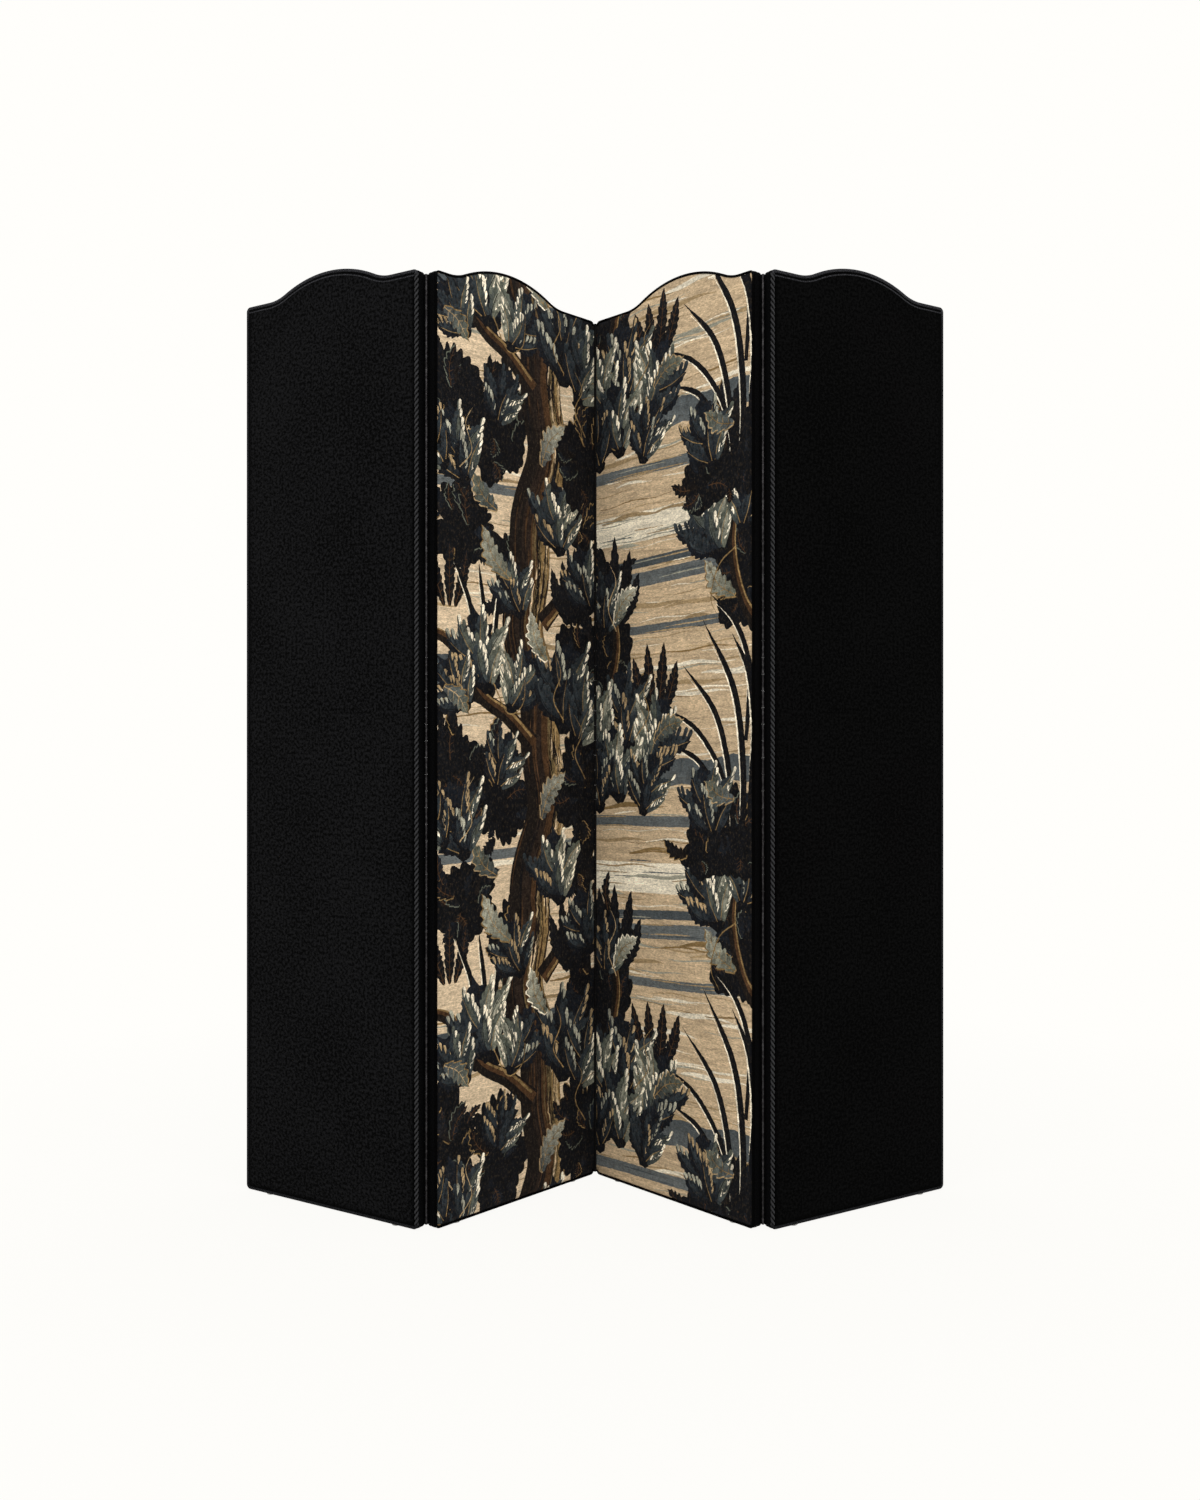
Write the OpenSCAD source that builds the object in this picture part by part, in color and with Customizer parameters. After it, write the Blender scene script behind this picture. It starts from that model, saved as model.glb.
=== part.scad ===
// Four-panel upholstered folding screen, standing in a zigzag.
// Each panel is a tenoned timber frame, clad in thin board, wadding and cloth, with a
// serpentine top, a padded edge band and piping along both corners of its edge.
// Millimetres. The floor is z = 0, +X is to the right and the viewer stands at -Y.

/* [Panels] */
// Width of one panel, edge to edge
panel_w = 450; // [390:5:560]
// Height of the flat shoulders above the floor
shoulder_h = 1765; // [1300:5:1900]
// Radius of a panel's four corners
corner_r = 10; // [8:0.5:16]

/* [Serpentine top] */
// Rise of the hump above the shoulders
hump_rise = 35; // [15:1:55]
// Radius of the hump
hump_r = 280; // [150:5:320]
// Radius of the hollow between the hump and a shoulder
hollow_r = 105; // [60:5:140]
// Share of the shoulder by which an inner panel's hump leans to the outer joint
hump_lean = 0.55; // [0:0.05:0.8]

/* [Fold at rest] */
// Angle of the two outer panels to the wall behind them
outer_angle = 34; // [10:0.5:70]
// Angle of the two inner panels to the wall behind them
inner_angle = 50; // [10:0.5:70]

/* [Timber frame] */
// Thickness of the battens
frame_t = 16; // [12:0.5:24]
// Width of a stile
stile_w = 38; // [30:1:50]
// Depth of the top rail below the shoulders
top_rail_h = 60; // [45:1:100]
// Height of the bottom rail
bottom_rail_h = 60; // [45:1:100]
// Height of a middle rail
mid_rail_h = 44; // [36:1:80]
// Number of middle rails
mid_rail_count = 2; // [1:1:4]
// Thickness of a tenon
tenon_t = 6; // [4:0.5:8]
// Length of a tenon
tenon_l = 24; // [15:1:26]
// Shoulder above and below a tenon
tenon_shoulder = 10; // [6:1:14]
// Glue gap round a tenon
tenon_fit = 0.1; // [0.05:0.05:0.3]

/* [Cladding] */
// Thickness of the board on each face
board_t = 2; // [1.5:0.5:4]
// Thickness of the wadding over a board
wadding_t = 1; // [0.5:0.5:4]
// Thickness of a cloth cover
cover_t = 1; // [0.5:0.25:2]
// How far a cover turns back along the panel's edge
cover_return = 8; // [6:0.5:10]

/* [Edge trim] */
// Diameter of the piping and the cord
piping_d = 6; // [5:0.5:8]
// Slack between a piping and what it lies against
piping_fit = 0.05; // [0.04:0.01:0.1]
// Half the width of a stitched joint between two stretches of piping
joint_half = 0.2; // [0.1:0.05:0.3]
// Depth of a stitched joint below the piping's surface
joint_depth = 0.1; // [0.05:0.05:0.3]
// Length of the core that runs into each of the two stretches
joint_core = 0.4; // [0.3:0.1:0.6]

/* [Hinges] */
// Gap between two panels at a hinge, and between their faces when folded
hinge_gap = 2; // [1.8:0.1:4]
// Ends of a hinge, in from the bottom and the shoulders
hinge_end = 5; // [4:0.5:60]
// Thickness of a leaf
leaf_t = 0.8; // [0.6:0.05:0.85]
// Leaf beyond its row of screws
leaf_margin = 6; // [4:0.5:8]
// Number of knuckles, an odd number
knuckle_count = 57; // [21:2:85]
// Gap between knuckles
knuckle_gap = 0.3; // [0.2:0.1:0.6]
// Clearance of the barrel to the piping and to the leaves' edges
barrel_fit = 0.35; // [0.3:0.05:0.5]
// Diameter of a hinge pin
pin_d = 2; // [1.6:0.1:2.6]
// Play of a pin in its knuckles, on the diameter
pin_fit = 0.16; // [0.06:0.02:0.2]

/* [Hinge screws] */
// Screws in one leaf
screw_count = 12; // [6:1:20]
// Diameter of a screw
screw_d = 3; // [2:0.1:3.5]
// Length of a screw, head included
screw_l = 18; // [12:0.5:20]
// Diameter of a countersunk head
screw_head_d = 5.4; // [4.6:0.1:6.5]
// Depth of a countersunk head
screw_head_h = 1.3; // [1:0.1:1.8]
// Clearance round a screw or a nail
screw_fit = 0.1; // [0.05:0.05:0.2]

/* [Glides] */
// Diameter of a glide
glide_d = 18; // [12:1:22]
// Height of a glide, which lifts the panel off the floor
glide_h = 2.5; // [1.5:0.5:6]
// Bevel round a glide's foot
glide_bevel = 0.6; // [0.2:0.1:1]
// Distance of a glide from the side of its panel
glide_inset = 60; // [30:1:120]
// Diameter of a glide's nail
nail_d = 2; // [1.5:0.1:3]
// Length of a glide's nail
nail_l = 24; // [14:1:34]

/* [Hidden] */
$fn = 96;

panel_t = frame_t + 2 * (board_t + wadding_t + cover_t);
frame_in = piping_d + cover_t;
board_y = cover_t + wadding_t;
frame_y = board_y + board_t;
bottom = glide_h;

// Height range of the straight seam edge, where the inner panels meet
seam_low = bottom + corner_r;
seam_high = shoulder_h - corner_r;

// The S-curves of the top: two tangent arcs on each side of the middle
hump_half = sqrt(2 * (hump_r + hollow_r) * hump_rise - hump_rise * hump_rise);
hump_z = shoulder_h + hump_rise - hump_r;
hollow_z = shoulder_h + hollow_r;
curve_angle = asin(hump_half / (hump_r + hollow_r));
shoulder_w = panel_w / 2 - hump_half - corner_r;
function hump_x(inner) = panel_w / 2 - (inner ? hump_lean * shoulder_w : 0);

trim_r = piping_d / 2;
tube_r = trim_r - piping_fit;

// A hinge's axis stands half a gap beyond the face and the edge of its panels,
// and its barrel fills the corner between their pipings
axis_out = hinge_gap / 2;
barrel_r = (trim_r + axis_out) * sqrt(2) - trim_r - barrel_fit;
leaf_edge = barrel_r + barrel_fit;
leaf_w = panel_t / 2 + axis_out + leaf_margin;
hinge_low = bottom + hinge_end;
hinge_h = shoulder_h - hinge_end - hinge_low;
knuckle_h = hinge_h / knuckle_count;
screw_z = [for (i = [0:screw_count - 1]) (i + 0.5) * hinge_h / screw_count];

// Heights of the middle rails' undersides, evenly spaced between the outer rails
rail_low = bottom + frame_in + bottom_rail_h;
rail_high = shoulder_h - frame_in - top_rail_h;
rail_gap = (rail_high - rail_low - mid_rail_count * mid_rail_h) / (mid_rail_count + 1);
mid_rail_z = [for (i = [0:mid_rail_count - 1]) rail_low + rail_gap + i * (rail_gap + mid_rail_h)];

// Places of panels 1 and 2; panels 3 and 4 are their mirror images in the plane x = 0
function turned(v, a) = [v.x * cos(a) - v.y * sin(a), v.x * sin(a) + v.y * cos(a)];
function panel_angle(p) = p == 1 ? -outer_angle : inner_angle;
function axis_at(p, side, back) =
    turned([side < 0 ? -axis_out : panel_w + axis_out, back ? panel_t + axis_out : -axis_out], panel_angle(p));
function corner_y(p, x, y) = origins[p - 1].y + turned([x, y], panel_angle(p)).y;
origin_2 = -axis_at(2, 1, false);
origin_1 = origin_2 + axis_at(2, -1, true) - axis_at(1, 1, true);
origins = [origin_1, origin_2];
near_y = corner_y(1, panel_w - trim_r, trim_r) - trim_r + piping_fit;
far_y = corner_y(2, panel_w - trim_r, panel_t - trim_r) + trim_r;
centre_y = (near_y + far_y) / 2;

COMMON = ["stiles", "top_rail", "cross_rails", "boards", "wadding", "front_cover", "back_cover", "edge_band",
    "back_piping", "glides", "hinge_screws"];
function pieces_of(p) = concat(COMMON, p == 1 || p == 4 ? ["front_cord"] : ["front_piping", "seam_strip"]);
JOINTS = [["left", 1, 2], ["centre", 2, 3], ["right", 3, 4]];

module at_panel(p) {
    if (p > 2) mirror([1, 0, 0]) at_panel(5 - p) children();
    else translate([origins[p - 1].x, origins[p - 1].y - centre_y, 0]) rotate([0, 0, panel_angle(p)]) children();
}

// Rounded rectangle from one corner to the opposite one
module rounded_box(from, to, r) {
    translate([from.x + r, from.y]) square([to.x - from.x - 2 * r, to.y - from.y]);
    translate([from.x, from.y + r]) square([to.x - from.x, to.y - from.y - 2 * r]);
    for (x = [from.x + r, to.x - r], y = [from.y + r, to.y - r]) translate([x, y]) circle(r = r);
}

// Where the hump meets the hollow on its right, d inside the edge, from the hump's middle
function curves_meet(d) = [0, hump_z] + [hump_half, hollow_z - hump_z] * (hump_r - d) / (hump_r + hollow_r);

// Half of the hump, drawn d inside the panel's edge and down to the shoulders
module half_hump(d) {
    meet = curves_meet(d);
    root = shoulder_h - d - corner_r;
    intersection() {
        translate([0, hump_z]) circle(r = hump_r - d);
        translate([0, root]) square([meet.x, hump_rise + d + corner_r]);
    }
    difference() {
        translate([meet.x, root]) square([hump_half - meet.x, meet.y + d - root]);
        translate([hump_half, hollow_z]) circle(r = hollow_r + d);
    }
}

// The panel's whole outline, drawn d inside its edge
module outline(inner, d) {
    rounded_box([d, bottom + d], [panel_w - d, shoulder_h - d], max(corner_r - d, cover_t / 2));
    for (side = [0, 1]) translate([hump_x(inner), 0]) mirror([side, 0]) half_hump(d);
}

// Stands a drawing upright and makes it solid from depth y0 to depth y1
module slab(y0, y1) {
    translate([0, y1, 0]) rotate([90, 0, 0]) linear_extrude(y1 - y0) children();
}

module seam_space() {
    translate([panel_w - piping_d, -panel_t, seam_low]) cube([2 * piping_d, 3 * panel_t, seam_high - seam_low]);
}

// A screw along +Z from its head's top, or with a fit the hole that it needs
module screw_shape(fit) {
    r = screw_d / 2 + fit;
    cylinder(h = screw_head_h, r1 = screw_head_d / 2 + fit, r2 = r);
    cylinder(h = screw_l - screw_d + fit, r = r);
    translate([0, 0, screw_l - screw_d + fit]) cylinder(h = screw_d, r1 = r, r2 = screw_d / 8);
}

// Screws of the centre hinge, whose leaf lies on the panel's right edge
module edge_screws(fit) {
    for (z = screw_z) translate([panel_w + leaf_t, panel_t / 2, hinge_low + z]) rotate([0, -90, 0]) screw_shape(fit);
}

// Screws of an outer hinge, whose leaf lies on the panel's back
module back_screws(inner, fit) {
    x = inner ? panel_t / 2 : panel_w - panel_t / 2;
    for (z = screw_z) translate([x, panel_t + leaf_t, hinge_low + z]) rotate([90, 0, 0]) screw_shape(fit);
}

module panel_screws(inner, fit) {
    back_screws(inner, fit);
    if (inner) edge_screws(fit);
}

module nails(fit) {
    for (x = [glide_inset, panel_w - glide_inset])
        translate([x, panel_t / 2, glide_h]) cylinder(h = nail_l + fit, r = nail_d / 2 + fit);
}

// A rail's tenons, or with a fit their mortises; the rail lies from z0 to z1
module tenons(z0, z1, fit) {
    y = panel_t / 2 - tenon_t / 2 - fit;
    stile_edge = frame_in + stile_w;
    size = [tenon_l + fit, tenon_t + 2 * fit, z1 - z0 - 2 * tenon_shoulder + 2 * fit];
    translate([stile_edge - tenon_l - fit, y, z0 + tenon_shoulder - fit]) cube(size);
    translate([panel_w - stile_edge, y, z0 + tenon_shoulder - fit]) cube(size);
}

module all_tenons(fit) {
    tenons(rail_high, shoulder_h - frame_in, fit);
    tenons(bottom + frame_in, rail_low, fit);
    for (z = mid_rail_z) tenons(z, z + mid_rail_h, fit);
}

module stiles(inner) {
    color("#c9a877") difference() {
        slab(frame_y, panel_t - frame_y) intersection() {
            outline(inner, frame_in);
            for (x = [frame_in, panel_w - frame_in - stile_w]) translate([x, 0]) square([stile_w, shoulder_h]);
        }
        all_tenons(tenon_fit);
        panel_screws(inner, screw_fit);
    }
}

module top_rail(inner) {
    color("#c9a877") {
        slab(frame_y, panel_t - frame_y) intersection() {
            outline(inner, frame_in);
            translate([frame_in + stile_w, rail_high])
                square([panel_w - 2 * (frame_in + stile_w), top_rail_h + frame_in + hump_rise]);
        }
        tenons(rail_high, shoulder_h - frame_in, 0);
    }
}

module rail(z0, z1) {
    translate([frame_in + stile_w, frame_y, z0]) cube([panel_w - 2 * (frame_in + stile_w), frame_t, z1 - z0]);
    tenons(z0, z1, 0);
}

module cross_rails() {
    color("#c9a877") {
        difference() {
            rail(bottom + frame_in, rail_low);
            nails(screw_fit);
        }
        for (z = mid_rail_z) rail(z, z + mid_rail_h);
    }
}

module boards(inner) {
    color("#7a5a3c") difference() {
        for (y = [board_y, panel_t - frame_y]) slab(y, y + board_t) outline(inner, frame_in);
        back_screws(inner, screw_fit);
    }
}

module wadding(inner) {
    color("#f2efe6") difference() {
        for (y = [cover_t, panel_t - board_y]) slab(y, y + wadding_t) outline(inner, frame_in);
        back_screws(inner, screw_fit);
    }
}

// A cover lies over its face and turns back along the frame's edge, under the band
module cover(inner, tint) {
    color(tint) difference() {
        slab(0, cover_return) outline(inner, piping_d);
        slab(cover_t, cover_return + cover_t) outline(inner, frame_in);
    }
}

module back_cover(inner) {
    color("#111214") difference() {
        translate([0, panel_t, 0]) mirror([0, 1, 0]) cover(inner, "#111214");
        back_screws(inner, screw_fit);
    }
}

module edge_band(inner) {
    color("#151517") difference() {
        slab(piping_d, panel_t - piping_d) difference() {
            outline(inner, 0);
            outline(inner, piping_d);
        }
        if (inner) seam_space();
        nails(screw_fit);
    }
}

// Cloth strip round the seam edge of an inner panel, in place of band and piping
module seam_strip() {
    x = panel_w - piping_d;
    color("#7d7360") difference() {
        translate([0, 0, seam_low]) linear_extrude(seam_high - seam_low) {
            translate([x, 0]) square([trim_r, panel_t]);
            translate([x, trim_r]) square([piping_d, panel_t - 2 * trim_r]);
            for (y = [trim_r, panel_t - trim_r]) translate([x + trim_r, y]) circle(r = trim_r);
        }
        edge_screws(screw_fit);
    }
}

module tube_straight(from, to) {
    run = to - from;
    translate([from.x, from.y, 0]) rotate([0, 0, atan2(run.y, run.x)]) translate([joint_half, 0, 0])
        rotate([0, 90, 0]) cylinder(h = norm(run) - 2 * joint_half, r = tube_r);
}

// Core of a stitched joint, in line with the piping
module tube_joint(at, angle) {
    translate([at.x, at.y, 0]) rotate([0, 0, angle]) rotate([0, 90, 0])
        cylinder(h = 2 * (joint_half + joint_core), r = tube_r - joint_depth, center = true);
}

module tube_arc(centre, r, from, to, open_from = false, open_to = false) {
    step = joint_half / r * 180 / PI;
    start = from + (open_from ? 0 : step);
    end = to - (open_to ? 0 : step);
    translate([centre.x, centre.y, 0]) rotate([0, 0, start])
        rotate_extrude(angle = end - start) translate([r, 0]) circle(r = tube_r);
}

// Piping along one corner of the edge, at depth y; an inner panel has none on its seam edge
module piping(y, inner) {
    low = bottom + corner_r;
    high = shoulder_h - corner_r;
    top = shoulder_h - trim_r;
    left = corner_r;
    right = panel_w - corner_r;
    mid = hump_x(inner);
    bend = corner_r - trim_r;
    meet = curves_meet(trim_r);
    translate([0, y, 0]) rotate([90, 0, 0]) {
        for (x = [left, mid - hump_half, mid + hump_half, right]) tube_joint([x, top], 0);
        for (side = [-1, 1]) tube_joint([mid + side * meet.x, meet.y], -side * curve_angle);
        for (x = [left, right]) tube_joint([x, bottom + trim_r], 0);
        for (x = inner ? [trim_r] : [trim_r, panel_w - trim_r], z = [low, high]) tube_joint([x, z], 90);
        tube_straight([trim_r, low], [trim_r, high]);
        tube_arc([left, high], bend, 90, 180);
        tube_straight([left, top], [mid - hump_half, top]);
        tube_arc([mid - hump_half, hollow_z], hollow_r + trim_r, -90, curve_angle - 90);
        tube_arc([mid, hump_z], hump_r - trim_r, 90 - curve_angle, 90 + curve_angle);
        tube_arc([mid + hump_half, hollow_z], hollow_r + trim_r, -90 - curve_angle, -90);
        tube_straight([mid + hump_half, top], [right, top]);
        tube_arc([right, high], bend, 0, 90, open_from = inner);
        if (!inner) tube_straight([panel_w - trim_r, low], [panel_w - trim_r, high]);
        tube_arc([right, low], bend, -90, 0, open_to = inner);
        tube_straight([left, bottom + trim_r], [right, bottom + trim_r]);
        tube_arc([left, low], bend, 180, 270);
    }
}

module glides() {
    color("#2b2b2d") {
        nails(0);
        for (x = [glide_inset, panel_w - glide_inset]) translate([x, panel_t / 2, 0]) {
            cylinder(h = glide_bevel, d1 = glide_d - 2 * glide_bevel, d2 = glide_d);
            translate([0, 0, glide_bevel]) cylinder(h = glide_h - glide_bevel, d = glide_d);
        }
    }
}

// One leaf of a hinge, its axis along Z at the origin; its panel fills x < -axis_out and
// y < -axis_out, and the leaf lies on the panel's edge. The long leaf has both end knuckles
module leaf(long) {
    color("#3a3126") difference() {
        union() {
            translate([-axis_out, -leaf_w, 0]) cube([leaf_t, leaf_w - leaf_edge, hinge_h]);
            for (k = [long ? 0 : 1:2:knuckle_count - 1])
                translate([0, 0, k * knuckle_h + knuckle_gap / 2]) linear_extrude(knuckle_h - knuckle_gap) {
                    difference() {
                        circle(r = barrel_r);
                        circle(r = (pin_d + pin_fit) / 2);
                    }
                    knuckle_web();
                }
        }
        for (z = screw_z) translate([leaf_t - axis_out, leaf_margin - leaf_w, z]) rotate([0, -90, 0])
            screw_shape(screw_fit);
    }
}

// Web that carries a knuckle, from inside the leaf to the barrel
module knuckle_web() {
    difference() {
        translate([-axis_out, -leaf_edge - leaf_t]) square([leaf_t, leaf_edge + leaf_t]);
        circle(r = (pin_d + pin_fit) / 2);
    }
}

module pin() {
    color("#57503f") cylinder(h = hinge_h, d = pin_d);
}

// The centre hinge stands in front of its panels and the two outer ones stand behind theirs
module at_hinge(p, right, back) {
    at_panel(p) translate([right ? panel_w + axis_out : -axis_out, back ? panel_t + axis_out : -axis_out, hinge_low])
        mirror([0, back ? 0 : 1, 0]) mirror([right ? 0 : 1, 0, 0]) children();
}

// The outer hinges' leaves lie on the panels' backs, so they are turned over the corner
module hinge_piece(joint, part) {
    outer = joint != "centre";
    first = joint == "right" ? 4 : joint == "left" ? 1 : 2;
    second = joint == "left" ? 2 : 3;
    if (part == "pin") at_hinge(first, true, outer) pin();
    if (part == str("leaf_p", first)) at_hinge(first, true, outer) turn_over(outer) leaf(true);
    if (part == str("leaf_p", second)) at_hinge(second, !outer, outer) turn_over(outer) leaf(false);
}

module turn_over(over) {
    if (over) mirror([1, -1, 0]) children();
    else children();
}

module panel_piece(p, piece) {
    inner = p == 2 || p == 3;
    if (piece == "stiles") stiles(inner);
    if (piece == "top_rail") top_rail(inner);
    if (piece == "cross_rails") cross_rails();
    if (piece == "boards") boards(inner);
    if (piece == "wadding") wadding(inner);
    if (piece == "front_cover") cover(inner, inner ? "#7d7360" : "#111214");
    if (piece == "back_cover") back_cover(inner);
    if (piece == "edge_band") edge_band(inner);
    if (piece == "seam_strip") seam_strip();
    if (piece == "front_cord") color("#2c2c2e") piping(trim_r, false);
    if (piece == "front_piping") color("#0f0f11") piping(trim_r, true);
    if (piece == "back_piping") color("#0f0f11") piping(panel_t - trim_r, inner);
    if (piece == "glides") glides();
    if (piece == "hinge_screws") color("#26241f") panel_screws(inner, 0);
}

for (p = [1:4], piece = pieces_of(p))
    at_panel(p) panel_piece(p, piece);
for (j = JOINTS, part = [str("leaf_p", j[1]), str("leaf_p", j[2]), "pin"])
    hinge_piece(j[0], part);
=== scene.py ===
import math
import random

import bmesh
import bpy
import numpy as np
from mathutils import Matrix, Vector, kdtree, noise
from mathutils.geometry import delaunay_2d_cdt


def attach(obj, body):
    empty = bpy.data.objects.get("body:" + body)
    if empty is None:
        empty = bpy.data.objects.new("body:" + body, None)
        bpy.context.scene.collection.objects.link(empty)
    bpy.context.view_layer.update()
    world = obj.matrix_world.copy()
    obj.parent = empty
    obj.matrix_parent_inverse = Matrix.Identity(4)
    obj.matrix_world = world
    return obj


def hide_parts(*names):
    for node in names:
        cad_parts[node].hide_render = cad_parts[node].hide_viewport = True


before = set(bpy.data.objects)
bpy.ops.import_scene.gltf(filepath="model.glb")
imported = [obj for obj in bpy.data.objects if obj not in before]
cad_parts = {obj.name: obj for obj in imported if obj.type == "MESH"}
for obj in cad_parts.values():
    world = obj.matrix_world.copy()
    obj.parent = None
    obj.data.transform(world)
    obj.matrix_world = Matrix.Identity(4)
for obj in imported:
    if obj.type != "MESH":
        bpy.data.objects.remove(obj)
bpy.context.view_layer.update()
bpy.ops.object.select_all(action="DESELECT")
print("frame loaded:", len(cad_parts), "nodes")

# a panel's own frame, in metres: x across, y from its face to its back, z up
panel = {"width": 0.450, "thick": 0.024, "bottom": 0.0025, "shoulder": 1.765, "corner": 0.010,
         "humpRise": 0.035, "humpRadius": 0.280, "hollowRadius": 0.105, "humpLean": 0.55}

# how finely an outline is drawn: points on a corner and a shoulder, and on the hollows and the hump
outlineValues = {"corner": 7, "shoulder": 3, "hollow": 10, "hollowLength": 0.1, "hump": 8,
                 "leastRadius": 0.0005}

# where panels 1 and 2 stand, and their turn in degrees; 4 and 3 are their mirror images
places = {1: (-0.698333, 0.069138, -34), 2: (-0.290663, -0.177636, 50)}


def panelMatrix(number):
    if number > 2:
        return Matrix.Diagonal((-1, 1, 1, 1)) @ panelMatrix(5 - number)
    x, y, turn = places[number]
    return Matrix.Translation((x, y, 0)) @ Matrix.Rotation(math.radians(turn), 4, "Z")


# the outline of a panel, drawn inset inside its edge, with the same number of points at any inset;
# it starts at the top right corner, and the last stretch is the right side
def outline(number, inset, step=0.02, rightSide=True):
    width, shoulder, mid = panel["width"], panel["shoulder"], panel["width"] / 2
    hump, hollow, rise = panel["humpRadius"], panel["hollowRadius"], panel["humpRise"]
    half = math.sqrt(2 * (hump + hollow) * rise - rise * rise)
    if number in (2, 3):
        mid -= panel["humpLean"] * (mid - half - panel["corner"])
    bend = math.degrees(math.asin(half / (hump + hollow)))
    radius = max(panel["corner"] - inset, outlineValues["leastRadius"])
    left, right = inset + radius, width - inset - radius
    low, high = panel["bottom"] + inset + radius, shoulder - inset - radius
    points = []

    def arc(cx, cz, r, start, end, count):
        for i in range(count):
            angle = math.radians(start) + (math.radians(end) - math.radians(start)) * i / count
            points.append((cx + r * math.cos(angle), cz + r * math.sin(angle)))

    def run(x0, z0, x1, z1, count):
        for i in range(count):
            points.append((x0 + (x1 - x0) * i / count, z0 + (z1 - z0) * i / count))

    tall = max(2, round((shoulder - panel["bottom"]) / step))
    wide = max(2, round(width / step))
    curve = max(outlineValues["hollow"], round(outlineValues["hollowLength"] / step))
    corner, flat = outlineValues["corner"], outlineValues["shoulder"]
    arc(right, high, radius, 0, 90, corner)
    run(right, shoulder - inset, mid + half, shoulder - inset, flat)
    arc(mid + half, shoulder + hollow, hollow + inset, -90, -90 - bend, curve)
    arc(mid, shoulder + rise - hump, hump - inset, 90 - bend, 90 + bend, 2 * curve + outlineValues["hump"])
    arc(mid - half, shoulder + hollow, hollow + inset, -90 + bend, -90, curve)
    run(mid - half, shoulder - inset, left, shoulder - inset, flat)
    arc(left, high, radius, 90, 180, corner)
    run(inset, high, inset, low, tall)
    arc(left, low, radius, 180, 270, corner)
    run(left, panel["bottom"] + inset, right, panel["bottom"] + inset, wide)
    arc(right, low, radius, -90, 0, corner)
    if rightSide:
        run(width - inset, low, width - inset, high, tall)
    else:
        points.append((width - inset, low))
    return points


# turns a mesh in a panel's frame into a piece that rides on that panel
def finishPiece(name, bm, number, material):
    bm.transform(panelMatrix(number))
    if number > 2:
        bmesh.ops.reverse_faces(bm, faces=bm.faces)
    mesh = bpy.data.meshes.new(name)
    bm.to_mesh(mesh)
    bm.free()
    mesh.materials.append(material)
    mesh.shade_smooth()
    piece = bpy.data.objects.new(name, mesh)
    bpy.context.scene.collection.objects.link(piece)
    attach(piece, f"panel_{number}")
    return piece


# skins closed rings of points, each given in a panel's frame; the UV map holds metres along and around
def skin(rings, closedPath):
    bm = bmesh.new()
    uv = bm.loops.layers.uv.new("cloth")
    rows = [[bm.verts.new(p) for p in ring] for ring in rings]
    count, size = len(rows), len(rows[0])
    along = [0.0]
    for a, b in zip(rings, rings[1:] + rings[:1]):
        along.append(along[-1] + (Vector(a[0]) - Vector(b[0])).length)
    around = [0.0]
    for a, b in zip(rings[0], rings[0][1:] + rings[0][:1]):
        around.append(around[-1] + (Vector(a) - Vector(b)).length)
    for k in range(count if closedPath else count - 1):
        for j in range(size):
            corners = ((k, j), (k + 1, j), (k + 1, j + 1), (k, j + 1))
            face = bm.faces.new([rows[a % count][b % size] for a, b in corners])
            for loop, (a, b) in zip(face.loops, corners):
                loop[uv].uv = (along[a], around[b])
    if not closedPath:
        bm.faces.new(rows[0][::-1])
        bm.faces.new(rows[-1])
    bmesh.ops.recalc_face_normals(bm, faces=bm.faces)
    return bm


# an sRGB hex colour as Blender's linear one
def linear(hexColour):
    parts = [int(hexColour[i:i + 2], 16) / 255 for i in (1, 3, 5)]
    return tuple(c / 12.92 if c <= 0.04045 else ((c + 0.055) / 1.055) ** 2.4 for c in parts) + (1.0,)


# adds a shader node with its settings; an input is a number, a colour or the socket that it is linked to
def addNode(tree, kind, settings=(), inputs=()):
    node = tree.nodes.new("ShaderNode" + kind)
    for key, value in dict(settings).items():
        setattr(node, key, value)
    for key, value in dict(inputs).items():
        if isinstance(value, bpy.types.NodeSocket):
            tree.links.new(value, node.inputs[key])
        else:
            node.inputs[key].default_value = value
    return node


def newMaterial(name):
    material = bpy.data.materials.new(name)
    material.use_nodes = True
    tree = material.node_tree
    return material, tree, tree.nodes["Principled BSDF"]


# cotton velvet, woven and cut: deep black, the pile brushed unevenly, with painted shade where it rolls down to
# a seam. Its tufts of 0.4 mm are drawn 5.6 mm wide on a face and 2.4 mm wide on the trim, so that they show
velvetValues = {"brushMarks": 5.0, "brushShare": 0.12, "darkest": 0.49, "lightest": 0.64, "seamShade": 0.12,
                "pileBump": 0.25, "pileHeight": 0.0006, "face": 180.0, "trim": 420.0}


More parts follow.
